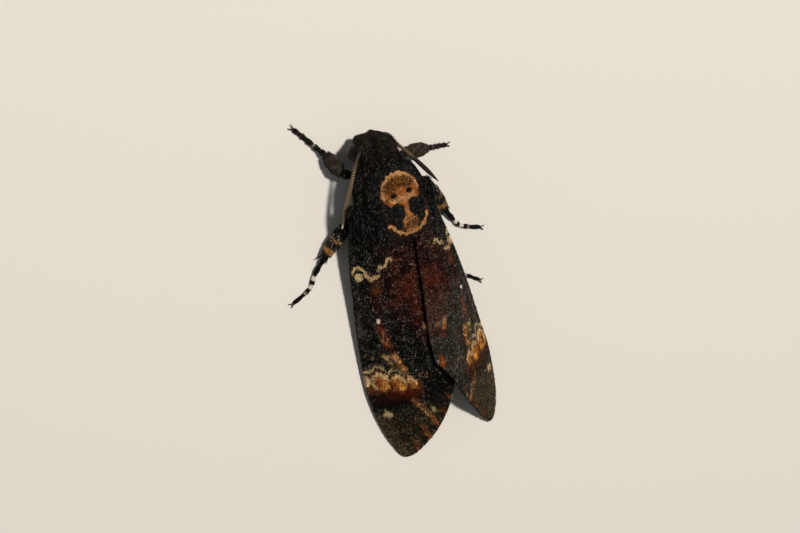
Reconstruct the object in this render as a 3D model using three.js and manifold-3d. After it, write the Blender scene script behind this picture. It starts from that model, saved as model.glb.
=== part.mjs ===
// Death's-head hawkmoth (Acherontia atropos) at rest on a flat surface, wings closed roof-like.
// Units are millimetres. +Z is up, the head looks along -Y and the moth's left side is +X.
// The tarsi stand on small flats at z = 0.

import * as THREE from 'three';
import { mergeVertices } from 'three/addons/utils/BufferGeometryUtils.js';
import Module from 'manifold-3d';

const wasm = await Module();
wasm.setup();

// ---------------------------------------------------------------- driving dimensions

const GAP = 0.1;                    // clearance left between neighbouring solids
const WING_THICKNESS = 0.5;         // membrane with its scales
const HINDWING_DEPTH = 1.25;        // how far the folded hindwing lies under the forewing
const LEFT = 1;
const RIGHT = -1;
const ORIGIN = [1.7, 14.5];         // middle of the footprint in the body's own layout

const HEAD = { y: -13.7, z: 6.2, width: 4.35, front: 3.3, back: 4.4, up: 3.9, down: 3.6 };
const EYE = { x: 2.95, y: -14.1, z: 5.75, radius: 2.0, tall: 1.12, turn: 0.25 };
const NECK_Y = -12.2;
const COLLAR_Y = -10.1;
const WAIST_Y = 8.4;
const BELLY_Y = 24.0;
const TRUNK_END_Y = 38.0;
const TRUNK_SIDES = 20;
const SECTION_POWER = 0.9;          // under 1 squares a section off, 1 is an ellipse
const SECTION_MIDDLE = 0.48;        // height of a section's widest place, as a share of its height

// Trunk outline: [y, value] stations, joined by a smooth monotone curve.
const TRUNK_HALF_WIDTH = track([
  [-12.2, 4.6], [-11, 5.5], [-9, 6.9], [-6, 7.7], [-2, 7.9], [2, 7.6], [6, 6.8],
  [10, 6.5], [16, 6.4], [22, 5.7], [28, 4.5], [33, 3.0], [36.5, 1.7], [38, 0.8],
]);
const TRUNK_TOP = track([
  [-12.2, 10.3], [-11, 12.1], [-9.5, 13.4], [-6, 14.4], [-1, 14.7], [2, 14.1], [4, 12.4],
  [6.2, 9.7], [9, 8.6], [16, 8.0], [22, 7.0], [28, 5.9], [33, 4.8], [38, 3.6],
]);
const TRUNK_BOTTOM = track([
  [-12.2, 3.2], [-10, 3.2], [-4, 3.3], [4, 3.2], [9, 2.6], [15, 1.5], [22, 1.0],
  [28, 1.1], [33, 1.6], [38, 2.8],
]);

// Forewings: the right one lies over the left one on the back. Outer edge first, then the bend.
const WING_ROOT_Y = -2.6;
const WING_TIP_Y = { [LEFT]: 51.6, [RIGHT]: 51.4 };
const COSTA_X = {
  [LEFT]: track([
    [-2.6, 8.2], [2, 9.7], [8, 10.8], [14, 11.6], [22, 12.6], [30, 13.4], [35, 13.7],
    [40, 13.4], [44, 12.7], [47.5, 11.7], [49.8, 10.8], [51, 10.0], [51.6, 9.1],
  ]),
  [RIGHT]: track([
    [-2.6, 8.2], [2, 9.9], [8, 11.2], [14, 12.2], [22, 13.1], [30, 13.6], [35, 13.9],
    [40, 13.7], [44, 13.3], [47.5, 12.5], [49.6, 11.7], [50.8, 11.0], [51.4, 10.4],
  ]),
};
const COSTA_Z = track([
  [-2.6, 6.9], [2, 5.4], [8, 4.2], [14, 3.2], [22, 2.2], [30, 1.5], [38, 1.1], [51.9, 0.7],
]);
// How sharply the sheet bends across, in degrees, from the costa to the inner edge.
const WING_BEND = {
  [LEFT]: track([[-2.6, 10], [6, 50], [16, 66], [30, 78], [38, 62], [44, 40], [48, 22], [51.9, 4]]),
  [RIGHT]: track([[-2.6, 10], [6, 46], [16, 52], [30, 52], [38, 42], [44, 30], [48, 16], [51.9, 4]]),
};
// The inner edge: along the back to the tornus, then down the termen to the tip.
const INNER_X = {
  [LEFT]: track([
    [-2.6, 7.0], [0, 5.8], [2.5, 2.6], [4.7, -0.8], [8, -1.6], [14, -2.0], [22, -2.8], [30, -3.4],
    [35, -3.6], [38, -3.1], [40.5, -2.2], [43.5, -0.7], [46.8, 1.5], [49.2, 4.0], [50.6, 5.9],
    [51.3, 7.2], [51.6, 8.3],
  ]),
  [RIGHT]: track([
    [-2.6, 7.0], [0, 6.0], [2.5, 3.6], [4.7, 1.8], [8, 1.45], [14, 0.85], [22, -0.1], [28.2, -0.9],
    [30.4, -1.0], [33.2, 0.35], [36.3, 2.0], [40, 3.5], [43.5, 5.1], [46.4, 6.6], [48.9, 8.0],
    [50.6, 9.1], [51.4, 9.8],
  ]),
};
const INNER_Z = {
  [LEFT]: track([
    [-2.6, 8.3], [2.5, 10.4], [4.7, 10.9], [8, 10.4], [14, 9.6], [22, 8.8], [30, 7.9],
    [35, 7.3], [40.5, 6.0], [43.5, 5.0], [46.8, 3.6], [49.2, 2.3], [51.6, 0.9],
  ]),
  [RIGHT]: track([
    [-2.6, 8.3], [2.5, 10.8], [4.7, 11.6], [8, 11.4], [14, 10.8], [22, 10.4], [30, 10.0],
    [33, 9.5], [36.2, 8.6], [40, 7.2], [43.5, 5.6], [46.4, 3.8], [48.9, 2.1], [51.4, 0.9],
  ]),
};
const HINDWING = { from: 2.5, to: 31.5, inner: 0.72, outer: 0.13 };
const FOREWING_GRID = { rows: 19, columns: 6, tipCrowding: 1.5 };
const HINDWING_GRID = { rows: 11, columns: 5 };

// Legs: joint places from the coxa's root to the tip of the last tarsomere, and radii.
const LEGS = {
  fore: {
    [LEFT]: {
      coxa: [[3.0, -7.8, 3.6], [4.1, -8.8, 2.1]],
      knee: [6.4, -10.4, 3.1],
      ankle: [7.8, -14.3, 1.75],
      toes: [[9.4, -16.9, 0.7], [11.1, -19.6, 0.42], [12.5, -21.6, 0.3]],
    },
    [RIGHT]: {
      coxa: [[-3.0, -7.8, 3.6], [-4.1, -8.8, 2.1]],
      knee: [-8.0, -9.4, 2.9],
      ankle: [-11.8, -8.5, 2.1],
      toes: [[-13.9, -7.8, 1.0], [-15.7, -7.3, 0.45], [-17.0, -7.0, 0.3]],
    },
    radius: { coxa: 1.15, femur: 0.95, tibia: 1.5, tarsus: 0.68, tip: 0.38 },
  },
  middle: {
    [LEFT]: {
      coxa: [[3.6, -2.0, 3.7], [5.4, -2.0, 2.2]],
      knee: [8.2, -0.3, 3.0],
      ankle: [13.5, 4.2, 2.0],
      toes: [[17.0, 8.0, 0.8], [18.3, 10.0, 0.5], [20.8, 11.2, 0.36], [22.6, 11.8, 0.3]],
    },
    [RIGHT]: {
      coxa: [[-3.6, -2.0, 3.7], [-5.4, -2.0, 2.2]],
      knee: [-9.7, -2.3, 3.3],
      ankle: [-12.2, 4.0, 2.1],
      toes: [[-13.9, 7.7, 0.8], [-14.9, 9.5, 0.5], [-17.2, 10.9, 0.36], [-19.2, 11.8, 0.3]],
    },
    radius: { coxa: 1.2, femur: 1.05, tibia: 1.45, tarsus: 0.62, tip: 0.38 },
  },
  hind: {
    [LEFT]: {
      coxa: [[3.3, 4.0, 3.6], [4.9, 4.9, 2.2]],
      knee: [8.3, 9.4, 2.6],
      ankle: [9.6, 16.2, 1.5],
      toes: [[10.4, 19.6, 0.6], [11.0, 22.0, 0.4], [11.6, 24.4, 0.3]],
    },
    [RIGHT]: {
      coxa: [[-3.3, 4.0, 3.6], [-4.9, 4.9, 2.2]],
      knee: [-8.3, 9.2, 2.6],
      ankle: [-10.2, 15.6, 1.5],
      toes: [[-12.1, 18.8, 0.7], [-14.2, 20.6, 0.42], [-16.0, 22.1, 0.3]],
    },
    radius: { coxa: 1.15, femur: 0.95, tibia: 0.95, tarsus: 0.5, tip: 0.36 },
  },
};
const ANTENNA = {
  [LEFT]: [[2.6, -15.6, 8.5], [4.2, -14.0, 8.9], [6.6, -9.8, 8.6], [8.7, -5.0, 7.2], [10.3, -0.8, 5.9]],
  [RIGHT]: [[-2.6, -15.6, 8.5], [-4.2, -13.9, 8.3], [-7.2, -9.7, 6.5], [-9.9, -5.6, 4.6],
    [-12.4, -1.5, 2.9]],
};

const ANTENNA_RADII = [0.5, 0.36, 0.42, 0.46, 0.3];

// Mouthparts and the scale-covered flap over each forewing's root, given for the left side.
const PALP = {
  points: [[1.35, -14.8, 2.7], [1.45, -15.9, 3.5], [1.15, -16.2, 5.2], [0.95, -15.8, 6.2]],
  radii: [0.8, 1.02, 0.98, 0.6],
};
const PROBOSCIS = { centre: [0, -15.2, 1.9], radius: 0.95, halfWidth: 0.42, bevel: 0.2 };
const TEGULA = { centre: [7.6, -1.9, 9.3], radii: [1.3, 4.3, 2.9], turn: [-0.12, -0.35, 0.08] };

// ---------------------------------------------------------------- shape helpers

// Monotone cubic curve through [at, value] stations, flat beyond both ends.
function track(stations) {
  const at = stations.map((s) => s[0]);
  const value = stations.map((s) => s[1]);
  const last = at.length - 1;
  const slope = [];
  for (let i = 0; i < last; i += 1) slope.push((value[i + 1] - value[i]) / (at[i + 1] - at[i]));
  const tangent = at.map((_, i) => {
    if (i === 0) return slope[0];
    if (i === last) return slope[last - 1];
    if (slope[i - 1] * slope[i] <= 0) return 0;
    return 2 / (1 / slope[i - 1] + 1 / slope[i]);
  });
  return (where) => {
    const x = Math.min(Math.max(where, at[0]), at[last]);
    let i = 0;
    while (i < last - 1 && x > at[i + 1]) i += 1;
    const h = at[i + 1] - at[i];
    const t = (x - at[i]) / h;
    const t2 = t * t;
    const t3 = t2 * t;
    return value[i] * (2 * t3 - 3 * t2 + 1) + tangent[i] * h * (t3 - 2 * t2 + t)
      + value[i + 1] * (3 * t2 - 2 * t3) + tangent[i + 1] * h * (t3 - t2);
  };
}

// Closed body through rings of points with a fan over each end. Its faces are turned outwards.
function loft(rings) {
  const sides = rings[0].length;
  const positions = rings.flat(2);
  const index = [];
  for (let r = 0; r + 1 < rings.length; r += 1) {
    for (let k = 0; k < sides; k += 1) {
      const a = r * sides + k;
      const b = r * sides + ((k + 1) % sides);
      index.push(a, b, a + sides, b, b + sides, a + sides);
    }
  }
  const closeEnd = (ring, base, flip) => {
    const middle = [0, 1, 2].map((i) => ring.reduce((sum, p) => sum + p[i], 0) / sides);
    const centre = positions.length / 3;
    positions.push(...middle);
    for (let k = 0; k < sides; k += 1) {
      const a = base + k;
      const b = base + ((k + 1) % sides);
      if (flip) index.push(a, b, centre);
      else index.push(b, a, centre);
    }
  };
  closeEnd(rings[0], 0, false);
  closeEnd(rings[rings.length - 1], (rings.length - 1) * sides, true);
  if (signedVolume(positions, index) < 0) index.reverse();
  const geometry = new THREE.BufferGeometry();
  geometry.setAttribute('position', new THREE.Float32BufferAttribute(positions, 3));
  geometry.setIndex(index);
  return geometry;
}

function signedVolume(positions, index) {
  const corner = (i) => new THREE.Vector3().fromArray(positions, index[i] * 3);
  let volume = 0;
  for (let i = 0; i < index.length; i += 3) {
    volume += corner(i).dot(corner(i + 1).cross(corner(i + 2))) / 6;
  }
  return volume;
}

function solidOf(geometry) {
  const clean = geometry.clone();
  clean.deleteAttribute('normal');
  clean.deleteAttribute('uv');
  const merged = mergeVertices(clean, 1e-4);
  return new wasm.Manifold(new wasm.Mesh({
    numProp: 3,
    vertProperties: new Float32Array(merged.attributes.position.array),
    triVerts: new Uint32Array(merged.index.array),
  }));
}

// The largest body of a cut solid, so that no loose crumb is kept.
function mainBody(solid) {
  const bodies = solid.decompose();
  return bodies.reduce((best, body) => (body.volume() > best.volume() ? body : best), bodies[0]);
}

function geometryOf(solid) {
  const mesh = solid.getMesh();
  const geometry = new THREE.BufferGeometry();
  geometry.setAttribute('position', new THREE.Float32BufferAttribute(mesh.vertProperties, 3));
  geometry.setIndex(Array.from(mesh.triVerts));
  geometry.computeVertexNormals();
  return geometry;
}

const signedPower = (value, power) => Math.sign(value) * Math.abs(value) ** power;

// Rounded-square section across the body at y, grown outwards by grow.
function bodyRing(y, halfWidth, top, bottom, sides, grow = 0) {
  const middle = bottom + (top - bottom) * SECTION_MIDDLE;
  const ring = [];
  for (let k = 0; k < sides; k += 1) {
    const angle = (k / sides) * Math.PI * 2;
    const lift = Math.sin(angle) > 0 ? top + grow - middle : middle - bottom + grow;
    ring.push([
      (halfWidth + grow) * signedPower(Math.cos(angle), SECTION_POWER),
      y,
      middle + lift * signedPower(Math.sin(angle), SECTION_POWER),
    ]);
  }
  return ring;
}

function trunkRings({ from, to, steps }, grow = 0) {
  const rings = [];
  for (let i = 0; i <= steps; i += 1) {
    const y = from + ((to - from) * i) / steps;
    rings.push(bodyRing(y, TRUNK_HALF_WIDTH(y), TRUNK_TOP(y), TRUNK_BOTTOM(y), TRUNK_SIDES, grow));
  }
  return rings;
}

function headSolid(grow = 0) {
  const sides = 18;
  const steps = 9;
  const rings = [];
  const backAngle = Math.acos((NECK_Y - GAP - HEAD.y) / HEAD.back);
  for (let i = 0; i <= steps; i += 1) {
    const angle = backAngle + ((Math.PI * 0.985 - backAngle) * i) / steps;
    const reach = Math.cos(angle) > 0 ? HEAD.back : HEAD.front + grow;
    const size = Math.sin(angle) ** 0.92;
    const y = HEAD.y + reach * Math.cos(angle);
    const lean = (y - HEAD.y) * 0.12;
    rings.push(bodyRing(
      y,
      HEAD.width * size + grow,
      HEAD.z + lean + HEAD.up * size + grow,
      HEAD.z + lean - HEAD.down * size - grow,
      sides,
    ));
  }
  return solidOf(loft(rings));
}

function ball(centre, radii, turn, detail) {
  const geometry = new THREE.SphereGeometry(1, detail[0], detail[1]);
  geometry.scale(...radii);
  geometry.rotateX(turn[0]);
  geometry.rotateY(turn[1]);
  geometry.rotateZ(turn[2]);
  geometry.translate(...centre);
  return solidOf(geometry);
}

// A round bar along points with a radius at each, closed by rounded ends. Below the floor it is flat.
function bar(points, radii, sides, steps, grow = 0) {
  const path = new THREE.CatmullRomCurve3(points.map((p) => new THREE.Vector3(...p)), false, 'centripetal');
  const thickness = track(radii.map((r, i) => [i / (radii.length - 1), r]));
  const rings = [];
  const addRing = (place, along, radius) => {
    const up = new THREE.Vector3(0, 0, 1);
    const across = new THREE.Vector3().crossVectors(along, up).normalize();
    const over = new THREE.Vector3().crossVectors(across, along).normalize();
    const ring = [];
    for (let k = 0; k < sides; k += 1) {
      const angle = ((k + 0.5) / sides) * Math.PI * 2;
      const p = place.clone()
        .addScaledVector(across, Math.cos(angle) * radius)
        .addScaledVector(over, Math.sin(angle) * radius);
      ring.push([p.x, p.y, Math.max(p.z, grow ? -1 : 0)]);
    }
    rings.push(ring);
  };
  const start = path.getPoint(0);
  const startWay = path.getTangent(0);
  const end = path.getPoint(1);
  const endWay = path.getTangent(1);
  const first = thickness(0) + grow;
  const final = thickness(1) + grow;
  addRing(start.clone().addScaledVector(startWay, -first * 0.55), startWay, first * 0.55);
  for (let i = 0; i <= steps; i += 1) {
    const t = i / steps;
    addRing(path.getPoint(t), path.getTangent(t), thickness(t) + grow);
  }
  addRing(end.clone().addScaledVector(endWay, final * 0.55), endWay, final * 0.55);
  return solidOf(loft(rings));
}

// ---------------------------------------------------------------- wings

// A point of the roof-shaped sheet: y along the body, v from the costa (0) to the inner edge (1).
// Each cross-section is an arc of a circle through the costal and the inner point.
function roofPoint(side, y, v, depth = 0) {
  const x0 = COSTA_X[side](y);
  const z0 = COSTA_Z(y);
  const dx = x0 - INNER_X[side](y);
  const dz = INNER_Z[side](y) - z0;
  const chord = Math.hypot(dx, dz);
  const half = (Math.max(WING_BEND[side](y), 1) * Math.PI) / 360;
  const startAngle = Math.atan2(dz, dx) + half;
  const radius = chord / (2 * Math.sin(half));
  const angle = startAngle - 2 * half * v;
  const across = radius * (Math.sin(startAngle) - Math.sin(angle));
  const rise = radius * (Math.cos(angle) - Math.cos(startAngle));
  return [
    side * (x0 - across - depth * Math.sin(angle)),
    y,
    z0 + rise - depth * Math.cos(angle),
  ];
}

function sheet(side, rows, columns, yAt, vAt, top, bottom) {
  const rings = [];
  for (let i = 0; i <= rows; i += 1) {
    const y = yAt(i / rows);
    const upper = [];
    const lower = [];
    for (let j = 0; j <= columns; j += 1) {
      const v = vAt(i / rows, j / columns);
      upper.push(roofPoint(side, y, v, top));
      lower.push(roofPoint(side, y, v, bottom));
    }
    rings.push([...upper, ...lower.reverse()]);
  }
  return solidOf(loft(rings));
}

function forewing(side, grow = 0) {
  const { rows, columns, tipCrowding } = FOREWING_GRID;
  const length = WING_TIP_Y[side] - WING_ROOT_Y;
  const tipward = (t) => WING_ROOT_Y + length * (1 - (1 - t) ** tipCrowding);
  return sheet(side, rows, columns, tipward, (t, v) => v, -grow, WING_THICKNESS + grow);
}

function hindwing(side) {
  const { from, to, inner, outer } = HINDWING;
  const roundEnd = (t) => Math.sqrt(Math.max(1 - ((t - 0.45) / 0.56) ** 2, 0));
  const span = (t, v) => {
    const middle = (inner + outer) / 2;
    const width = (inner - outer) * (t < 0.45 ? 0.62 + 0.38 * (t / 0.45) : roundEnd(t));
    return middle + width * (v - 0.5);
  };
  const { rows, columns } = HINDWING_GRID;
  return sheet(side, rows, columns, (t) => from + (to - from) * t, span,
    HINDWING_DEPTH, HINDWING_DEPTH + WING_THICKNESS);
}

// ---------------------------------------------------------------- pieces

const velvetBlack = 0x1a1513;
const headBrown = 0x2c241e;
const wingBrown = 0x2a2320;
const hindwingYellow = 0xc08a2c;
const abdomenYellow = 0xb98a35;
const legBrown = 0x2b221d;
const eyeBlack = 0x120d0b;
const antennaBrown = 0x4a3526;
const skullOchre = 0xb07a3c;

const moth = new THREE.Group();
moth.position.set(-ORIGIN[0], -ORIGIN[1], 0);

function add(name, solid, colour, roughness = 0.9) {
  const material = new THREE.MeshStandardMaterial({ color: colour, roughness, metalness: 0 });
  const mesh = new THREE.Mesh(geometryOf(solid), material);
  mesh.name = name;
  moth.add(mesh);
}

const cut = (solid, ...cutters) => mainBody(cutters.reduce((rest, c) => rest.subtract(c), solid));
const letter = (side) => (side === LEFT ? 'L' : 'R');
const both = [LEFT, RIGHT];

// The cutter shares the pieces' own rings, so it clears every facet of them by the gap.
const TRUNK = [
  { name: 'collar', from: NECK_Y, to: COLLAR_Y - GAP, steps: 3, colour: headBrown },
  { name: 'thorax', from: COLLAR_Y, to: WAIST_Y - GAP, steps: 12, colour: skullOchre },
  { name: 'abdomen', from: WAIST_Y, to: BELLY_Y - GAP, steps: 7, colour: abdomenYellow },
  { name: 'abdomen_tip', from: BELLY_Y, to: TRUNK_END_Y, steps: 7, colour: abdomenYellow },
];
const trunkGrown = solidOf(loft(TRUNK.flatMap((piece) => trunkRings(piece, GAP))));
const headGrown = headSolid(GAP);

function palp(side, grow = 0) {
  const points = PALP.points.map(([x, y, z]) => [side * x, y, z]);
  return bar(points, PALP.radii, 8, 5, grow);
}

function antenna(side, grow = 0) {
  return bar(ANTENNA[side], ANTENNA_RADII, 6, 14, grow);
}

function tegula(side, grow = 0) {
  const [x, y, z] = TEGULA.centre;
  const [tilt, lean, swing] = TEGULA.turn;
  return ball([side * x, y, z], TEGULA.radii.map((r) => r + grow),
    [tilt, side * lean, side * swing], [10, 7]);
}

add('head', headSolid(), headBrown);
for (const side of both) {
  const eye = ball([side * EYE.x, EYE.y, EYE.z], [EYE.radius, EYE.radius, EYE.radius * EYE.tall],
    [0, 0, side * EYE.turn], [12, 9]);
  add(`eye_${letter(side)}`, cut(eye, headGrown), eyeBlack, 0.12);
}
add('palp_L', cut(palp(LEFT), headGrown), headBrown);
add('palp_R', cut(palp(RIGHT), headGrown, palp(LEFT, GAP)), headBrown);
for (const side of both) {
  add(`antenna_${letter(side)}`, cut(antenna(side), headGrown, trunkGrown), antennaBrown, 0.6);
}

// The short, stout proboscis, coiled between the palps.
const { radius: coilRadius, halfWidth: coilHalf, bevel: coilBevel } = PROBOSCIS;
const coilProfile = [
  new THREE.Vector2(0, -coilHalf),
  new THREE.Vector2(coilRadius - coilBevel, -coilHalf),
  new THREE.Vector2(coilRadius, coilBevel - coilHalf),
  new THREE.Vector2(coilRadius, coilHalf - coilBevel),
  new THREE.Vector2(coilRadius - coilBevel, coilHalf),
  new THREE.Vector2(0, coilHalf),
];
const coil = new THREE.LatheGeometry(coilProfile, 14);
coil.rotateZ(Math.PI / 2);
coil.translate(...PROBOSCIS.centre);
add('proboscis', cut(solidOf(coil), headGrown, palp(LEFT, GAP), palp(RIGHT, GAP)), legBrown, 0.5);

for (const piece of TRUNK) add(piece.name, solidOf(loft(trunkRings(piece))), piece.colour);

const antennaeGrown = both.map((side) => antenna(side, GAP));
for (const side of both) {
  add(`tegula_${letter(side)}`, cut(tegula(side), trunkGrown, ...antennaeGrown), velvetBlack);
}

const rightForewingGrown = forewing(RIGHT, GAP);
const leftForewingGrown = forewing(LEFT, GAP);
for (const side of both) {
  const cutters = [trunkGrown, tegula(side, GAP), ...antennaeGrown];
  if (side === LEFT) cutters.push(rightForewingGrown);
  add(`forewing_${letter(side)}`, cut(forewing(side), ...cutters), wingBrown);
  add(`hindwing_${letter(side)}`, cut(hindwing(side), trunkGrown, leftForewingGrown,
    rightForewingGrown), hindwingYellow);
}

// ---------------------------------------------------------------- legs

// Two small hooked claws on the last tarsomere, joined to it.
function claws(tip, before, radius) {
  const way = new THREE.Vector3(...tip).sub(new THREE.Vector3(...before)).normalize();
  way.z = 0;
  way.normalize();
  const across = new THREE.Vector3(-way.y, way.x, 0);
  const hooks = [];
  for (const lean of [-1, 1]) {
    const at = (ahead, aside, z) => [
      tip[0] + way.x * ahead + across.x * aside * lean,
      tip[1] + way.y * ahead + across.y * aside * lean,
      z,
    ];
    const points = [at(-0.1, 0.05, 0.34), at(0.45, 0.3, 0.5), at(0.85, 0.5, 0.22)];
    hooks.push(bar(points, [radius * 0.7, 0.26, 0.25], 4, 2));
  }
  return hooks[0].add(hooks[1]);
}

for (const [pair, leg] of Object.entries(LEGS)) {
  const r = leg.radius;
  for (const side of both) {
    const { coxa, knee, ankle, toes } = leg[side];
    const root = coxa[1];
    const build = {
      coxa: (grow) => bar(coxa, [r.coxa, r.coxa * 0.8], 6, 2, grow),
      femur: (grow) => bar([root, knee], [r.femur * 0.8, r.femur, r.femur * 0.75], 7, 3, grow),
      tibia: (grow) => bar([knee, ankle], [r.tibia * 0.72, r.tibia, r.tibia * 0.8], 8, 4, grow),
      tarsus: (grow) => bar([ankle, ...toes], [r.tarsus, r.tarsus * 0.95, r.tip], 6, 6, grow),
    };
    const order = ['coxa', 'femur', 'tibia', 'tarsus'];
    const others = [trunkGrown, ...antennaeGrown, headGrown];
    order.forEach((piece, i) => {
      let solid = build[piece](0);
      const before = order.slice(0, i).map((name) => build[name](GAP));
      solid = cut(solid, ...others, ...before);
      if (piece === 'tarsus') {
        const count = toes.length;
        solid = mainBody(solid.add(claws(toes[count - 1], toes[count - 2], r.tip)));
      }
      add(`${pair}leg_${letter(side)}_${piece}`, solid, legBrown, 0.75);
    });
  }
}

export default moth;
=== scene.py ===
# Death's-head hawkmoth at rest, wings closed like a roof, as a life-size museum model.
# Shapes are worked out in the moth's own millimetres: head towards -Y, its left side +X, up +Z.

import math

import bpy
import numpy as np
from mathutils import Matrix


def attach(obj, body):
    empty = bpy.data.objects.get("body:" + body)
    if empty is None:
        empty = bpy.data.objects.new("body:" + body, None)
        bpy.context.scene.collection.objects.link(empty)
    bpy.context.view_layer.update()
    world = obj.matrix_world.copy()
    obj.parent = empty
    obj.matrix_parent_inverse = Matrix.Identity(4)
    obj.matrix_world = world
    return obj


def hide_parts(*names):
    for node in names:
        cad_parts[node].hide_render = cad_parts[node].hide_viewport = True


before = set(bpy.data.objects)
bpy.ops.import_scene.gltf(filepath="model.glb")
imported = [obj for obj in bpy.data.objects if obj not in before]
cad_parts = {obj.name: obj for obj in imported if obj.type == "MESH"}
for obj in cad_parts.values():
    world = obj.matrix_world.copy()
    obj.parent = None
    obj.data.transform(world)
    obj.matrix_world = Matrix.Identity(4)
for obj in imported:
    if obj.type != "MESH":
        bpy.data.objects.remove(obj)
bpy.ops.object.select_all(action="DESELECT")
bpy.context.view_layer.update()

# ---------------------------------------------------------------- camera
# A long lens looks down on the moth's back, from a little to its left and from the head side, and
# is rolled so that the head points up and slightly to the left.

LENS = 150.0
DISTANCE = 0.65636
LOOK_AT = np.array([-0.000892, -0.003126, 0.005])
LEFTWARD, HEADWARD, ROLL = (math.radians(a) for a in (17.938, 20.384, 16.198))

towards = np.array([math.tan(LEFTWARD), -math.tan(HEADWARD), 1.0])
towards /= np.linalg.norm(towards)
ahead = np.array([0.0, -1.0, 0.0])
ahead -= ahead @ towards * towards
ahead /= np.linalg.norm(ahead)
aside = np.cross(ahead, towards)
view_up = math.cos(ROLL) * ahead + math.sin(ROLL) * aside
view_right = -math.sin(ROLL) * ahead + math.cos(ROLL) * aside

bpy.ops.object.camera_add(location=(0, 0, 0))
camera = bpy.context.object
camera.name = "camera"
camera.data.lens = LENS
camera.data.sensor_width = 36.0
camera.data.clip_start = 0.01
place = np.eye(4)
place[:3, 0], place[:3, 1], place[:3, 2] = view_right, view_up, towards
place[:3, 3] = LOOK_AT + towards * DISTANCE
camera.matrix_world = Matrix(place.tolist())
bpy.context.scene.camera = camera

# ---------------------------------------------------------------- floor and light
# A pale matt studio floor. A small lamp high on the right of the view gives clear soft-edged
# shadows, and a broad weak one opposite and a dim even room lighten them.


def linear(hex_colour):
    """An sRGB hex colour as linear red, green and blue."""
    value = np.array([int(hex_colour[i : i + 2], 16) for i in (1, 3, 5)]) / 255.0
    return np.where(value <= 0.04045, value / 12.92, ((value + 0.055) / 1.055) ** 2.4)


def node(tree, kind, settings=None, links=None):
    """Adds a node, sets its inputs and options, and links outputs to its inputs."""
    made = tree.nodes.new(kind)
    for key, value in (settings or {}).items():
        if isinstance(key, int) or key in made.inputs:
            made.inputs[key].default_value = value
        else:
            setattr(made, key, value)
    for key, source in (links or {}).items():
        tree.links.new(source, made.inputs[key])
    return made


def new_material(name, settings):
    """A material with one principled shader, and its node tree and shader."""
    material = bpy.data.materials.new(name)
    material.use_nodes = True
    tree = material.node_tree
    tree.nodes.clear()
    shader = node(tree, "ShaderNodeBsdfPrincipled", settings)
    node(tree, "ShaderNodeOutputMaterial", None, {"Surface": shader.outputs["BSDF"]})
    return material, tree, shader


FLOOR_SIZE, FLOOR_COLOUR = 4.0, "#e4dfd7"
ROOM_TINT, ROOM_STRENGTH = (0.93, 0.96, 1.0, 1), 0.13

bpy.ops.mesh.primitive_plane_add(size=FLOOR_SIZE, location=(0, 0, 0))
floor = bpy.context.object
floor.name = "floor"
floor_paint, tree, shader = new_material("matt_floor_paint", {"Roughness": 0.85})
shader.inputs["Base Color"].default_value = (*linear(FLOOR_COLOUR), 1)
floor.data.materials.append(floor_paint)

room = bpy.data.worlds.new("room")
bpy.context.scene.world = room
room.use_nodes = True
room_light = room.node_tree.nodes["Background"].inputs
room_light["Color"].default_value = ROOM_TINT
room_light["Strength"].default_value = ROOM_STRENGTH
bpy.context.scene.view_settings.view_transform = "Standard"

# Each lamp: name, the way to it, how far and how wide in metres, watts and colour.
for name, direction, distance, size, watts, colour in (
    ("key_lamp", view_right * 0.45 + view_up * 0.2 + towards * 0.87, 1.4, 0.14, 18.5, (1.0, 0.955, 0.88)),
    ("fill_lamp", -view_right * 0.9 - view_up * 0.2 + towards, 1.6, 0.9, 1.2, (0.9, 0.95, 1.0)),
):
    way = direction / np.linalg.norm(direction)
    bpy.ops.object.light_add(type="AREA", location=tuple(way * distance))
    lamp = bpy.context.object
    lamp.name = name
    lamp.data.size, lamp.data.energy, lamp.data.color = size, watts, colour
    lamp.rotation_euler = lamp.location.to_track_quat("Z", "Y").to_euler()

# ---------------------------------------------------------------- body skin
# The soft body is one skin: head with palps, collar, thorax with the two tegulae that cover the
# wing roots, and the ringed abdomen. It is thin chitin and lies inside the hair by its depth.

ORIGIN = np.array([1.7, 14.5, 0.0])
SECTION_POWER = 0.9
SECTION_MIDDLE = 0.48


def track(*stations):
    """Monotone cubic curve through (at, value) stations, flat beyond both ends."""
    at, value = np.array(stations, float).T
    slope = np.diff(value) / np.diff(at)
    before, after = slope[:-1], slope[1:]
    same = before * after > 0
    total = np.where(same, before + after, 1.0)
    tangent = np.concatenate((slope[:1], np.where(same, 2 * before * after / total, 0.0), slope[-1:]))

    def curve(where):
        x = np.clip(where, at[0], at[-1])
        i = np.clip(np.searchsorted(at, x, side="right") - 1, 0, len(at) - 2)
        h = at[i + 1] - at[i]
        t = (x - at[i]) / h
        t2, t3 = t * t, t * t * t
        ends = value[i] * (2 * t3 - 3 * t2 + 1) + value[i + 1] * (3 * t2 - 2 * t3)
        return ends + tangent[i] * h * (t3 - 2 * t2 + t) + tangent[i + 1] * h * (t3 - t2)

    return curve


def metres(points):
    return (np.asarray(points, float) - ORIGIN) * 0.001


def unit(vectors):
    return vectors / np.maximum(np.linalg.norm(vectors, axis=-1, keepdims=True), 1e-12)


def new_mesh(name, points, faces):
    """A mesh object from millimetre points."""
    data = bpy.data.meshes.new(name)
    data.from_pydata(metres(points), [], faces)
    data.update()
    made = bpy.data.objects.new(name, data)
    bpy.context.scene.collection.objects.link(made)
    return made


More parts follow.
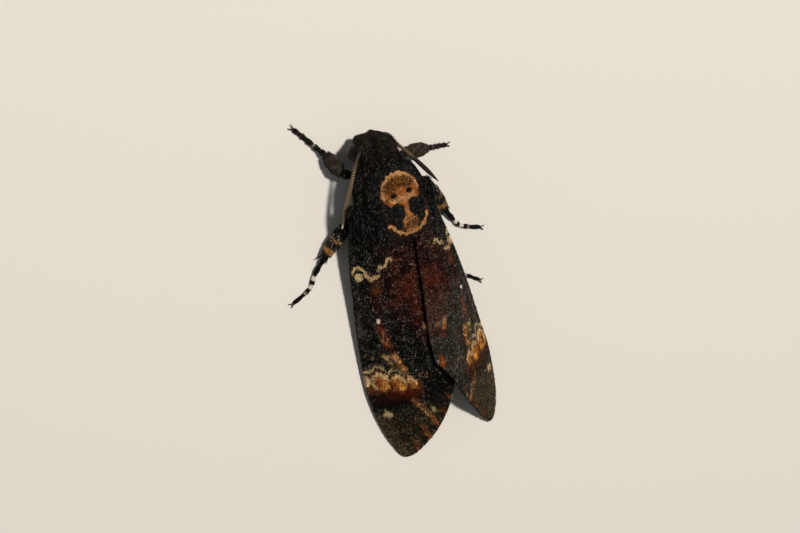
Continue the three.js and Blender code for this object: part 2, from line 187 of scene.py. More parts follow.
def loft(rings):
    """Points and faces of a closed body through rings of equal count, with a fan over each end."""
    rings = np.asarray(rings, float)
    count, sides = rings.shape[:2]
    points = np.concatenate((rings.reshape(-1, 3), rings[:1].mean(1), rings[-1:].mean(1)))
    k = np.arange(sides)
    following = (k + 1) % sides
    faces = []
    for r in range(count - 1):
        a, b = r * sides + k, r * sides + following
        faces += np.stack((a, b, b + sides, a + sides), 1).tolist()
    faces += [[int(b), int(a), count * sides] for a, b in zip(k, following)]
    last = (count - 1) * sides
    faces += [[int(last + a), int(last + b), count * sides + 1] for a, b in zip(k, following)]
    return points, faces


def pick(*objects):
    bpy.ops.object.select_all(action="DESELECT")
    for each in objects:
        each.select_set(True)
    bpy.context.view_layer.objects.active = objects[0]


def apply_modifier(obj, kind, **settings):
    pick(obj)
    modifier = obj.modifiers.new(kind.lower(), kind)
    for key, value in settings.items():
        setattr(modifier, key, value)
    bpy.ops.object.modifier_apply(modifier=modifier.name)


def face_outwards(obj):
    """Turns every face of closed shapes outwards and shades them smooth."""
    pick(obj)
    bpy.ops.object.mode_set(mode="EDIT")
    bpy.ops.mesh.select_all(action="SELECT")
    bpy.ops.mesh.normals_make_consistent(inside=False)
    bpy.ops.object.mode_set(mode="OBJECT")
    bpy.ops.object.shade_smooth()


def joined_as(name, parts):
    """Joins objects into one with a name."""
    pick(*parts)
    bpy.ops.object.join()
    made = bpy.context.object
    made.name = made.data.name = name
    return made


def one_skin(name, parts, grain, rounds):
    """Joins overlapping closed parts into one smooth seamless skin with faces of about grain mm."""
    made = joined_as(name, parts)
    bpy.ops.object.transform_apply(location=True, rotation=True, scale=True)
    face_outwards(made)
    apply_modifier(made, "REMESH", mode="VOXEL", voxel_size=grain * 0.001)
    apply_modifier(made, "SMOOTH", factor=0.5, iterations=rounds)
    bpy.ops.object.shade_smooth()
    return made


def signed_power(value, power):
    return np.sign(value) * np.abs(value) ** power


def body_ring(y, half_width, top, bottom, sides=48):
    """A rounded-square section across the body."""
    angle = np.arange(sides) / sides * 2 * np.pi
    middle = bottom + (top - bottom) * SECTION_MIDDLE
    lift = np.where(np.sin(angle) > 0, top - middle, middle - bottom)
    across = half_width * signed_power(np.cos(angle), SECTION_POWER)
    height = middle + lift * signed_power(np.sin(angle), SECTION_POWER)
    return np.stack((across, np.full(sides, y), height), 1)


ROUND_END = (1.0, 0.8, 0.45)      # where the rings of a tube's rounded end lie, outermost first
END_REACH = 0.6                   # how far that end sticks out, in radii
LEAST_HEIGHT = 0.01               # a tube stays this far above the floor


def tube(path, radii, sides=12, spacing=0.25, grow=0.0):
    """A round bar along a smooth path with rounded ends, kept above the floor."""
    path = np.asarray(path, float)
    reach = np.concatenate(([0.0], np.cumsum(np.linalg.norm(np.diff(path, axis=0), axis=1))))
    ways = [track(*zip(reach, path[:, i])) for i in range(3)]
    thickness = track(*zip(np.linspace(0, reach[-1], len(radii)), radii))
    along = np.linspace(0, reach[-1], max(4, int(reach[-1] / spacing)) + 1)
    middle = np.stack([way(along) for way in ways], 1)
    forward = unit(np.gradient(middle, axis=0))
    radius = thickness(along) + grow

    def end_rings(end, way):
        centres = [middle[end] + way * forward[end] * radius[end] * e * END_REACH for e in ROUND_END]
        return centres, [radius[end] * math.sqrt(1.02 - e * e) for e in ROUND_END]

    (first, first_radii), (last, last_radii) = end_rings(0, -1), end_rings(-1, 1)
    middle = np.concatenate((first, middle, last[::-1]))
    radius = np.concatenate((first_radii, radius, last_radii[::-1]))
    forward = np.concatenate((np.repeat(forward[:1], 3, 0), forward, np.repeat(forward[-1:], 3, 0)))
    across = unit(np.cross(forward, [0.0, 0.0, 1.0]))
    over = np.cross(across, forward)
    angle = (np.arange(sides) + 0.5) / sides * 2 * np.pi
    ring = across[:, None] * np.cos(angle)[:, None] + over[:, None] * np.sin(angle)[:, None]
    rings = middle[:, None] + ring * radius[:, None, None]
    rings[..., 2] = np.maximum(rings[..., 2], LEAST_HEIGHT)
    return loft(rings)


trunk_half_width = track(
    (-12.2, 4.6), (-11, 5.5), (-9, 6.9), (-6, 7.7), (-2, 7.9), (2, 7.6), (6, 6.8),
    (10, 6.5), (16, 6.4), (22, 5.7), (28, 4.5), (33, 3.0), (36.5, 1.7), (38, 0.8),
)
trunk_top = track(
    (-12.2, 10.3), (-11, 12.1), (-9.5, 13.4), (-6, 14.4), (-1, 14.7), (2, 14.1), (4, 12.4),
    (6.2, 9.7), (9, 8.6), (16, 8.0), (22, 7.0), (28, 5.9), (33, 4.8), (38, 3.6),
)
trunk_bottom = track(
    (-12.2, 3.2), (-10, 3.2), (-4, 3.3), (4, 3.2), (9, 2.6), (15, 1.5), (22, 1.0),
    (28, 1.1), (33, 1.6), (38, 2.8),
)
coat_depth = track((-12.2, 0.55), (-9, 0.8), (3, 0.8), (8, 0.45), (30, 0.4), (38, 0.3))
SEGMENT_JOINTS = [9.6, 13.2, 16.8, 20.4, 24.0, 27.6, 31.2, 34.6]
SEGMENT_GROOVE, GROOVE_HALF = 0.22, 0.4
TRUNK_FROM, TRUNK_TO, TRUNK_STEP = -12.4, 37.7, 0.3

rings = []
for y in np.arange(TRUNK_FROM, TRUNK_TO, TRUNK_STEP):
    grooves = sum(SEGMENT_GROOVE * math.exp(-(((y - j) / GROOVE_HALF) ** 2)) for j in SEGMENT_JOINTS)
    inset = coat_depth(y) + grooves
    rings.append(body_ring(y, trunk_half_width(y) - inset, trunk_top(y) - inset, trunk_bottom(y) + inset))
trunk = new_mesh("trunk", *loft(rings))

# The head is a short dome that hangs a little forward.
HEAD_Y, HEAD_Z, HEAD_COAT, FACE_COAT = -13.7, 6.2, 0.25, 0.12
HEAD_WIDTH, HEAD_FRONT, HEAD_BACK, HEAD_UP, HEAD_DOWN = 4.35, 3.3, 4.4, 3.9, 3.6
HEAD_BLUNT, HEAD_TILT, HEAD_LEAST, HEAD_RINGS = 0.77, 0.12, 0.1, 26
rings = []
for angle in np.linspace(0.5, math.pi * 0.985, HEAD_RINGS):
    size = math.sin(angle) ** HEAD_BLUNT
    y = HEAD_Y + (HEAD_BACK if math.cos(angle) > 0 else HEAD_FRONT - FACE_COAT) * math.cos(angle)
    middle = HEAD_Z + (y - HEAD_Y) * HEAD_TILT
    width, up, down = (
        max((full - HEAD_COAT) * size, HEAD_LEAST) for full in (HEAD_WIDTH, HEAD_UP, HEAD_DOWN)
    )
    rings.append(body_ring(y, width, middle + up, middle - down))
parts = [trunk, new_mesh("head_dome", *loft(rings))]

# Two palps curve up in front of the face.
PALP = np.array([(1.35, -14.8, 2.7), (1.45, -15.9, 3.5), (1.15, -16.2, 5.2), (0.95, -15.8, 6.2)])
PALP_RADII, PALP_COAT = [0.8, 1.02, 0.98, 0.6], 0.3
for side in (1, -1):
    parts.append(new_mesh("palp", *tube(PALP * [side, 1, 1], PALP_RADII, grow=-PALP_COAT)))

# A tegula is a flap over each wing's root.
TEGULA_AT, TEGULA_RADII, TEGULA_TURN = (7.6, -1.9, 9.3), (1.3, 4.3, 2.9), (-0.12, -0.35, 0.08)
TEGULA_COAT = 0.45
for side in (1, -1):
    centre = metres([TEGULA_AT[0] * side, TEGULA_AT[1], TEGULA_AT[2]])
    turn = (TEGULA_TURN[0], TEGULA_TURN[1] * side, TEGULA_TURN[2] * side)
    bpy.ops.object.select_all(action="DESELECT")
    bpy.ops.mesh.primitive_uv_sphere_add(
        segments=32, ring_count=20, radius=0.001, location=tuple(centre), rotation=turn,
        scale=[r - TEGULA_COAT for r in TEGULA_RADII],
    )
    parts.append(bpy.context.object)
BODY_GRAIN, BODY_SMOOTHING = 0.24, 6
body = one_skin("body_skin", parts, BODY_GRAIN, BODY_SMOOTHING)

# ---------------------------------------------------------------- markings of the body
# Hair colours: velvet black thorax with the ochre skull-like mark, greyish head, yellow abdomen
# with black rings and a blue-grey stripe down the back.


def ripple(a, b, size, seed):
    """Smooth repeatable waviness of about unit height, with waves of about size mm."""
    rng = np.random.default_rng(seed)
    total = 0.0
    for _ in range(7):
        heading, phase, stretch = rng.uniform(0, 2 * np.pi, 2).tolist() + [rng.uniform(0.6, 1.5)]
        along = a * math.cos(heading) + b * math.sin(heading)
        total = total + np.sin(along * stretch * 2 * np.pi / size + phase)
    return total / 1.9


def grains(a, b, size, seed):
    """A repeatable random number from 0 to 1 for each cell of size mm, about as big as a scale's tip."""
    i = np.floor((a + 0.4 * size * ripple(a, b, 4 * size, seed)) / size).astype(np.int64)
    j = np.floor((b + 0.4 * size * ripple(b, a, 4 * size, seed + 1)) / size).astype(np.int64)
    mixed = (i * 73856093 + seed * 83492791) ^ (j * 19349663)
    mixed = ((mixed ^ (mixed >> 13)) * 1274126177) & 0xFFFFFFFF
    return ((mixed >> 8) & 0xFFFF) / 65535.0


def fade(low, high, value):
    t = np.clip((value - low) / (high - low), 0, 1)
    return t * t * (3 - 2 * t)


def paint(colour, mask, hex_colour):
    return colour + np.clip(mask, 0, 1)[:, None] * (linear(hex_colour) - colour)


def spot(a, b, at, radii, turn=0.0, soft=0.35):
    """A soft-edged ellipse at a place, turned by degrees."""
    c, s = math.cos(math.radians(turn)), math.sin(math.radians(turn))
    u, w = (a - at[0]) * c + (b - at[1]) * s, (b - at[1]) * c - (a - at[0]) * s
    return 1 - fade(1 - soft, 1 + soft, np.hypot(u / radii[0], w / radii[1]))


def distance_to(a, b, *path):
    """Distance to a line through places, and how far along it from 0 to 1."""
    path = np.array(path, float)
    best, along = np.full(np.shape(a), 1e9), np.zeros(np.shape(a))
    for i, (start, end) in enumerate(zip(path[:-1], path[1:])):
        way = end - start
        t = np.clip(((a - start[0]) * way[0] + (b - start[1]) * way[1]) / (way @ way), 0, 1)
        far = np.hypot(a - start[0] - way[0] * t, b - start[1] - way[1] * t)
        along = np.where(far < best, (i + t) / (len(path) - 1), along)
        best = np.minimum(best, far)
    return best, along


def stroke(a, b, width, *path, soft=0.15):
    """A soft-edged line of a width through places."""
    return 1 - fade(width / 2 - soft, width / 2 + soft, distance_to(a, b, *path)[0])


def plain(hex_colour, count):
    """One colour at every place."""
    return np.repeat(linear(hex_colour)[None], count, 0)


class Markings:
    """Colours at places (a, b), painted over one marking after the other."""

    def __init__(self, a, b, colour):
        self.a, self.b, self.colour = a, b, colour

    def wash(self, mask, tone):
        self.colour = paint(self.colour, mask, tone)

    def spot(self, at, radii, tone, *shares, **form):
        """A spot that covers by the product of its shares."""
        self.wash(math.prod(shares, start=spot(self.a, self.b, at, radii, **form)), tone)

    def line(self, width, path, tone, *shares, **form):
        """A line that covers by the product of its shares."""
        self.wash(math.prod(shares, start=stroke(self.a, self.b, width, *path, **form)), tone)


MARK_OCHRE, MARK_PALE, MARK_SHADE, MARK_RIM = "#b8723c", "#e2ad76", "#2b1d0a", "#2e0d06"
VELVET, VELVET_REAR, HEAD_HAIR = "#090807", "#1a0c09", "#0e0906"
CRANIUM = track(
    (-10.4, 0.0), (-10.1, 1.5), (-9.4, 2.6), (-8.5, 3.4), (-7.5, 3.85), (-6.4, 4.05),
    (-5.4, 3.9), (-4.7, 3.4), (-4.0, 3.1), (-3.3, 2.4), (-2.6, 0.9), (-2.0, 0.6),
)


def mark_middle(y):
    """The mark's middle line runs slightly askew over the back."""
    return -0.65 - 0.05 * (y + 9)


def thorax_mark(colour, x, y):
    """The skull-like mark, seen from above: crown, two eye spots, black cheeks, muzzle and jaw."""
    # The hair lies backwards, so each part of the mark sits a little behind its nominal place.
    moved = y - np.interp(y, [-10.0, -6.0, -4.2, -2.0, 2.5], [0.5, 0.42, 0.12, 0.45, 0.5])
    u = np.abs(x - mark_middle(y) + 0.11 * ripple(x, y, 1.5, 5) + 0.06 * ripple(x, y, 0.6, 7))
    w = moved + 0.08 * ripple(x, y, 1.4, 6) + 0.05 * ripple(x, y, 0.6, 8)
    single = grains(x, y, 0.16, 15)
    crown = fade(-0.14, 0.1, CRANIUM(w) - u) * fade(-10.4, -10.2, w) * (1 - fade(-2.3, -1.9, w))
    muzzle_half = np.interp(w, [-2.8, -1.6, -0.6, 0.8, 1.8, 2.4], [0.4, 0.6, 1.45, 1.75, 1.3, 0.8])
    muzzle = fade(-0.2, 0.15, muzzle_half - u + 0.2 * ripple(x, y, 0.8, 9))
    muzzle = muzzle * fade(-3, -2.6, w) * fade(2.8, 2.4, w)
    jaw_line = ((0, 2.45), (1.45, 2.2), (2.4, 1.65), (3.2, 0.8), (3.8, 0.1), (4.15, -0.45))
    jaw = stroke(u, w, 0.7 + 0.18 * ripple(x, y, 1.3, 10), *jaw_line, soft=0.14)
    bridge = stroke(u, w, 0.95, (0, -4.5), (0, -1.5), soft=0.2)
    shape = np.maximum.reduce((crown, muzzle, jaw, bridge))
    rim = fade(-0.6, -0.05, CRANIUM(w) - u) * fade(-10.9, -10.3, w) * (1 - fade(-3, -2, w))
    rim = np.maximum(rim, stroke(u, w, 1.9, *jaw_line, soft=0.3))
    on = Markings(u, w, colour)
    on.wash(rim, MARK_RIM)
    # A hair-fine tan line joins the crown's corner to the end of the jaw.
    on.line(0.2, ((3.9, -5.2), (4.4, -3.4), (4.5, -1.8), (4.2, -0.6)), "#8f6044", 0.22, soft=0.14)
    on.wash(shape, MARK_OCHRE)
    edge_line = ((0, -10.05), (1.5, -9.75), (2.5, -9.0), (3.3, -7.9), (3.75, -6.6), (3.7, -5.6))
    pale = np.maximum(stroke(u, w, 0.7, *edge_line, soft=0.3), jaw)
    pale = np.maximum(pale, spot(u, w, (1.4, -4.9), (1.9, 0.7), soft=0.5) * 0.8)
    pale = np.maximum(pale, muzzle * 0.3)
    on.wash(shape * pale * 0.85, MARK_PALE)
    on.spot((3.4, -4.9), (0.7, 1.0), "#7a3a17", shape, 0.7, soft=0.5)
    # Dark olive freckles cross the forehead, densest at its sides, and mottle the muzzle.
    forehead = spot(u, w, (1.8, -7.95), (2.0, 1.15), turn=16, soft=0.4)
    forehead = forehead + spot(u, w, (0, -8.7), (1.3, 1.0), soft=0.5) * 0.6
    on.wash(shape * np.minimum(forehead, 1) * 0.5, "#6d4a22")
    chin = spot(u, w, (0.3, 0.3), (1.3, 1.4), soft=0.4)
    freckled = np.maximum(np.minimum(forehead, 1) * 0.66, chin * 0.52)
    freckled = np.maximum(freckled, shape * spot(u, w, (1.6, -6.0), (2.4, 1.9), soft=0.4) * 0.12)
    on.wash(shape * (single < freckled) * 0.9, MARK_SHADE)
    on.spot((0.55, 0.5), (0.42, 0.7), "#3a2411", 0.6, turn=-15, soft=0.5)
    beside = np.abs(x - mark_middle(y)) + 0.05 * ripple(x, y, 1.0, 13)
    on.wash(spot(beside, moved, (1.75, -6.05), (0.95, 0.8), soft=0.4) * 0.55, "#5b2f14")
    on.wash(spot(beside, moved, (1.75, -6.05), (0.62, 0.54), soft=0.15), "#0a0503")
    cheek = spot(u, w, (1.95, -2.75), (1.52, 1.6), soft=0.12)
    cheek = np.maximum(cheek, spot(u, w, (2.75, -0.7), (0.72, 1.45), turn=-18, soft=0.2))
    on.wash(cheek * (1 - jaw), VELVET)
    on.spot((1.6, 1.2), (0.5, 0.35), VELVET, 0.8, turn=25, soft=0.3)
    return on.colour


def body_colours(points):
    """Hair colour at millimetre points of the body."""
    x, y, z = points.T
    on = Markings(x, y, plain(VELVET, len(points)))
    patchy = fade(-0.6, 1.4, ripple(x, y, 3.5, 21))
    on.wash(fade(1.5, 4.5, y + 0.5 * ripple(x, y, 2, 22)) * (0.6 + 0.4 * patchy), VELVET_REAR)
    on.wash(fade(-10.2, -12.0, y) * 0.8, HEAD_HAIR)
    on.wash(fade(-12.4, -13.2, y) * fade(5.5, 8.5, z) * 0.3 * patchy, "#33291f")
    on.wash(fade(6.0, 4.0, z) * fade(9, 7, y) * 0.75, "#3a2816")
    collar_edge = 1 - fade(0.12, 0.4, np.abs(y + 12.25 + 0.12 * ripple(x, z, 2.0, 24)))
    on.wash(collar_edge * 0.8, "#030202")
    marked = (z > 7.5) & (np.abs(x) < 6.5) & (y < 5) & (y > -11.5)
    on.colour[marked] = thorax_mark(on.colour[marked], x[marked], y[marked])
    # The abdomen is yellow with a black ring at each joint, a blue-grey back stripe and a black end.
    rear = Markings(x, y, plain("#a9741f", len(points)))
    rear.wash(fade(4.0, 2.0, z) * 0.6, "#c39b52")
    ring = np.zeros(len(points))
    for joint in SEGMENT_JOINTS:
        ring = np.maximum(ring, 1 - fade(0.45, 0.8, np.abs(y - joint + 0.15 * ripple(x, z, 2, 31))))
    rear.wash(ring * fade(1.2, 3.2, z), "#15100c")
    stripe = 1 - fade(1.5, 2.3, np.abs(x + 0.2 * ripple(y, z, 3, 33)))
    rear.wash(stripe * fade(4, 5.5, z), "#3d434c")
    rear.wash(fade(33.5, 35.5, y), "#1a1410")
    return on.colour + fade(7.6, 8.6, y)[:, None] * (rear.colour - on.colour)


def set_colours(obj, colours):
    """Stores linear colours on a mesh's points, for its material to read."""
    layer = obj.data.attributes.new("coat_colour", "FLOAT_COLOR", "POINT")
    rgba = np.ones((len(colours), 4), np.float32)
    rgba[:, :3] = np.clip(colours, 0, 1)
    layer.data.foreach_set("color", rgba.ravel())


def points_of(obj):
    """A mesh's points in the moth's millimetres."""
    found = np.empty(len(obj.data.vertices) * 3, np.float32)
    obj.data.vertices.foreach_get("co", found)
    return found.reshape(-1, 3).astype(float) * 1000 + ORIGIN


def coat_material(name, surface, kind, pattern, shading, squeeze=None, bump=None):
    """A material that reads its colours from the mesh and lightens and darkens them by a pattern."""
    material, tree, shader = new_material(name, surface)
    marks = node(tree, "ShaderNodeAttribute", {"attribute_name": "coat_colour"}).outputs["Color"]
    where = node(tree, "ShaderNodeTexCoord").outputs["Object"]
    if squeeze:
        where = node(tree, "ShaderNodeMapping", {"Scale": squeeze}, {"Vector": where}).outputs["Vector"]
    height = node(tree, kind, pattern, {"Vector": where}).outputs[0]
    shade = node(tree, "ShaderNodeMapRange", shading, {"Value": height}).outputs["Result"]
    tinted = node(tree, "ShaderNodeVectorMath", {"operation": "SCALE"}, {0: marks, "Scale": shade})
    tree.links.new(tinted.outputs["Vector"], shader.inputs["Base Color"])
    if bump:
        relief = node(tree, "ShaderNodeBump", bump, {"Height": height})
        tree.links.new(relief.outputs["Normal"], shader.inputs["Normal"])
    return material


# Hair-covered chitin: nearly matt, with a fine pile that catches light at its edges.
PILE_MM = 0.14                    # hair strands are about 0.03 mm, drawn coarser so that they show
pile = coat_material(
    "chitin_under_hair", {"Roughness": 0.9, "Specular IOR Level": 0.06},
    "ShaderNodeTexNoise", {"Scale": 1000 / PILE_MM, "Detail": 3.0, "Roughness": 0.6},
    {"From Min": 0.3, "From Max": 0.7, "To Min": 0.55, "To Max": 1.5},
    squeeze=(1, 0.25, 1), bump={"Strength": 0.6, "Distance": 0.0001},
)
set_colours(body, body_colours(points_of(body)))
body.data.materials.append(pile)
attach(body, "root")
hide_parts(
    "head", "collar", "thorax", "abdomen", "abdomen_tip", "palp_L", "palp_R", "tegula_L", "tegula_R"
)

# ---------------------------------------------------------------- body hair
# Dense hair-like scales lie backwards over the skin: long and silky on the thorax and tegulae,
# short on the head and palps, flat on the abdomen with a small brush at its end.

# One tuft: a closed three-sided blade with a root ring, a middle ring and a tip.
BLADE_FACES = np.array([
    (0, 4, 1), (0, 3, 4), (1, 5, 2), (1, 4, 5), (2, 3, 0), (2, 5, 3),
    (3, 6, 4), (4, 6, 5), (5, 6, 3), (1, 2, 0),
])
BLADE_PATCH = np.array([(0.2, 0), (0.8, 0), (0.5, 0.1), (0, 0.55), (1, 0.55), (0.5, 0.6), (0.5, 1)])
BAKE_PATCH = 0.003                # how much of the bake map one tuft's patch takes
LOWEST_TUFT = 0.02                # no tuft reaches nearer to the floor
ROOT_SUNK, BLADE_THICK = 0.12, 0.45       # depth of a root in mm, and a blade's thickness in widths


def blades(root, along, out, length, width, lift, curl):
    """Seven points for each tuft: it rises from its root by lift and curls back down by curl."""
    across = unit(np.cross(along, out))
    length, width, lift, curl = (
        np.broadcast_to(v, len(root))[:, None] for v in (length, width, lift, curl)
    )
    middle = root + along * length * 0.5 + out * length * 0.5 * lift
    tip = root + along * length + out * length * (lift - curl)
    thick = out * width * BLADE_THICK
    low = root - out * ROOT_SUNK
    corners = (
        low - across * width * 0.4, low + across * width * 0.4, low + thick,
        middle - across * width * 0.5, middle + across * width * 0.5, middle + thick, tip,
    )
    return np.stack(corners, 1)


def joined(name, shapes, pattern, colours, places, patch, material):
    """One mesh of many like small closed shapes, each with its own patch on the bake map."""
    count, each = shapes.shape[:2]
    shapes = shapes.copy()
    shapes[..., 2] = np.maximum(shapes[..., 2], LOWEST_TUFT)
    faces = (pattern[None] + (np.arange(count) * each)[:, None, None]).reshape(-1, 3)
    made = new_mesh(name, shapes.reshape(-1, 3), faces)
    made.data.polygons.foreach_set("use_smooth", np.ones(len(faces), bool))
    set_colours(made, colours.reshape(-1, 3))
    corner = places[:, None] * (1 - BAKE_PATCH) + patch[None] * BAKE_PATCH
    layer = made.data.uv_layers.new(name="OFBake")
    layer.data.foreach_set("uv", corner.reshape(-1, 2)[faces.ravel()].astype(np.float32).ravel())
    made.data.materials.append(material)
    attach(made, "root")
    return made


def faces_of(obj):
    """Centres, normals and areas of a mesh's faces, in the moth's millimetres."""
    count = len(obj.data.polygons)
    centre, normal, area = np.empty(count * 3), np.empty(count * 3), np.empty(count)
    obj.data.polygons.foreach_get("center", centre)
    obj.data.polygons.foreach_get("normal", normal)
    obj.data.polygons.foreach_get("area", area)
    return centre.reshape(-1, 3) * 1000 + ORIGIN, normal.reshape(-1, 3), area * 1e6


ROOT_STRAY = 0.09                 # how far a root is moved aside, in mm


def scatter(centre, normal, area, density, rng):
    """Roots spread over faces at a density per square millimetre, each moved a little aside."""
    wanted = density * area
    copies = np.floor(wanted + rng.random(len(wanted))).astype(int)
    pick_from = np.repeat(np.arange(len(centre)), copies)
    aside_by = rng.normal(0, ROOT_STRAY, (len(pick_from), 3))
    out = normal[pick_from]
    aside_by -= (aside_by * out).sum(1, keepdims=True) * out
    return centre[pick_from] + aside_by, out


def around_trunk(points, low, high):
    """Places on the body's own unwrap: the angle round it and the distance along it."""
    turn = np.arctan2(points[:, 0], points[:, 2] - 6.5) / (2 * np.pi) + 0.5
    return np.clip(np.stack((turn, (points[:, 1] - low) / (high - low)), 1), 0, 1)


# How bright each of a tuft's seven points is, with painted shade at the root and painted light at the tip,
# and how much of a pale tip's colour it takes.
TUFT_PAINTED_SHADING = np.array([0.5, 0.5, 0.6, 0.95, 0.95, 1.05, 1.2])
TIPWARDS = np.array([0, 0, 0, 0.4, 0.4, 0.4, 1.0])


def frosted(colours, rng, share, hex_colour, strength):
    """A share of the tufts gets a pale tip, which shows as one speck."""
    chosen = (rng.random(len(colours)) < share) * rng.uniform(0.35, 1.0, len(colours)) * strength
    mask = (chosen[:, None] * TIPWARDS[None])[..., None]
    return colours + mask * (linear(hex_colour) - colours)


def coloured_tufts(shapes, colours, rng, unlike):
    """Tuft colours with painted shade at the root and painted light at the tip, no two tufts quite alike.
    """
    colours = colours.reshape(*shapes.shape)
    return colours * (np.exp(rng.normal(0, unlike, (len(shapes), 1, 1))) * TUFT_PAINTED_SHADING[None, :, None])


# Hair: keratin-like strands, satin along their length, with a soft sheen.
HAIR_CLOUD_MM = 0.5
hair = coat_material(
    "hair_scales", {"Roughness": 0.6, "Specular IOR Level": 0.12},
    "ShaderNodeTexNoise", {"Scale": 1000 / HAIR_CLOUD_MM, "Detail": 2.0},
    {"From Min": 0.3, "From Max": 0.7, "To Min": 0.8, "To Max": 1.2},
)

# The hair parts in a dark line where the tegulae and the collar meet the thorax's disc.
TEGULA_SEAM = ((2.6, -11.3), (4.6, -10.1), (5.8, -8.4), (6.2, -6.0), (5.8, -3.4), (4.9, -1.8))
COLLAR_Y, WAIST_Y, BRUSH_Y = -12.3, 7.2, 33       # where head, thorax and the abdomen's plain part end
UNDERSIDE_Z = 4.5
EYE_AT, EYE_TALL = (2.95, -14.1, 5.75), 1.12
EYE_BARE, BROW = 2.05, 2.9        # how far from the eye's middle the hair starts and the brow ends
FROST_BELOW, FROST_STRENGTH = 0.02, 0.85          # only hair darker than this is frosted
HAIR_UNLIKE = 0.34                # how much one tuft's brightness differs from the next


def on_mark(x, y, z):
    """The part of the back that carries the skull-like mark and has finer, denser hair."""
    return (z > 9) & (np.abs(x - mark_middle(y)) < 5.0) & (y > -11) & (y < 3.8)


centre, normal, area = faces_of(body)
cx, cy, cz = centre.T
in_head, in_abdomen = cy < COLLAR_Y, cy > WAIST_Y
in_thorax = ~in_head & ~in_abdomen
marked = in_thorax & on_mark(cx, cy, cz)
under = np.where(cz < UNDERSIDE_Z, 0.55, 1.0)     # the underside has thinner hair
abdomen_density = np.where(cy > BRUSH_Y, 20.0, 8.5)

# Each group: name, faces, tufts per square millimetre, slot, seed, and a tuft's width, lift, curl
# and untidiness.
for name, chosen, density, slot, seed, (width, lift, curl, untidy) in (
    ("skull_mark_coat", marked, 85.0 * under, "thorax_fur", 40, (0.11, 0.45, 0.2, 0.26)),
    ("thorax_coat", in_thorax & ~marked, 35.0 * under, "thorax_fur", 41, (0.14, 0.45, 0.2, 0.26)),
    ("head_coat", in_head, 130.0 * under, "dark_fur", 42, (0.095, 0.45, 0.2, 0.3)),
    ("abdomen_coat", in_abdomen, abdomen_density, "abdomen_fur", 43, (0.19, 0.25, 0.12, 0.16)),
):
    rng = np.random.default_rng(seed)
    root, out = scatter(centre[chosen], normal[chosen], area[chosen], density[chosen], rng)
    # The eyes stay bare.
    from_eye = np.hypot(np.abs(root[:, 0]) - EYE_AT[0], root[:, 1] - EYE_AT[1])
    from_eye = np.hypot(from_eye, (root[:, 2] - EYE_AT[2]) / EYE_TALL)
    root, out, from_eye = (each[from_eye > EYE_BARE] for each in (root, out, from_eye))
    x, y, z = root.T
    lie = np.tile([0.0, 1.0, -0.12], (len(root), 1))
    if name == "skull_mark_coat":
        lie[:, 0] += 0.12 * np.sign(x)
        length = 0.4
    elif name == "thorax_coat":
        lie[:, 0] += 0.12 * np.sign(x)
        on_tegula = (np.abs(x) > 6.7) & (z > 6.2) & (y > -6.6) & (y < 2.9)
        length = np.where(on_tegula, 1.25, 0.75) * np.where(y > 3, 1.5, 1.0)
    elif name == "head_coat":
        palps = (y < -14.9) & (np.abs(x) < 2.6) & (z < 6.6)
        face = (y < -15.6) & (z < 8.0) & ~palps
        crest = (z > 7.2) & (y < -12.6)
        brow = (from_eye < BROW) & (z > 6.6)
        over_feeler = (np.abs(x) > 1.9) & (np.abs(x) < 3.7) & (z > 8.0) & (y < -12.4)
        lie[:, 0] += (0.35 * crest + 0.9 * brow + 0.9 * over_feeler) * np.sign(x)
        lie[palps] = (0.0, -0.3, 1.0)
        lie[face] = (0.0, 0.3, 1.0)
        length = np.select((palps | face, over_feeler, brow, crest), (0.42, 1.4, 1.05, 0.85), 0.75)
        lift = np.where(crest, 0.66, lift)
    else:
        length = np.where(y > BRUSH_Y, 1.5, 0.8)
    lie += rng.normal(0, untidy, lie.shape)
    along = unit(lie - (lie * out).sum(1, keepdims=True) * out)
    length = length * rng.uniform(0.7, 1.2, len(root))
    width = width * rng.uniform(0.8, 1.2, len(root))
    shapes = blades(root, along, out, length, width, lift * rng.uniform(0.6, 1.4, len(root)), curl)
    colours = coloured_tufts(shapes, body_colours(shapes.reshape(-1, 3)), rng, HAIR_UNLIKE)
    if name != "abdomen_coat":
        # Pale tips frost the dark hair, but not between the mark's eye spots.
        clear = (name == "skull_mark_coat") & (y > -8.5) & (y < -4.2) & (np.abs(x + 0.8) < 3)
        dark = (colours.mean((1, 2)) < FROST_BELOW) & ~clear
        seam = stroke(np.abs(x + 0.2), y, 0.55, *TEGULA_SEAM) > 0.5
        shoulder = stroke(np.abs(x + 0.2) - 0.6, y, 0.5, *TEGULA_SEAM) > 0.5
        middle_part = dark & (y >= -12.0) & (y < 2.5) & ~seam
        for zone, share, tone in (
            (y < -12.0, 0.14, "#94806a"), (middle_part & ~shoulder, 0.13, "#adaca7"),
            (middle_part & shoulder, 0.3, "#a39a8c"), (y >= 2.5, 0.3, "#a3857a"),
        ):
            here = dark & zone
            colours[here] = frosted(colours[here], rng, share, tone, FROST_STRENGTH)
    places = around_trunk(root, y.min(), y.max())
    joined(name, shapes, BLADE_FACES, colours, places, BLADE_PATCH, hair)

# ---------------------------------------------------------------- eyes
# Two large compound eyes of smooth dark-brown chitin lenses, set in the sides of the head.

EYE_RADIUS, EYE_TURN = 1.94, 0.25
FACET_MM = 0.09                   # lenses are about 0.03 mm, drawn coarser so that they show
CLOUD_MM = 1.6


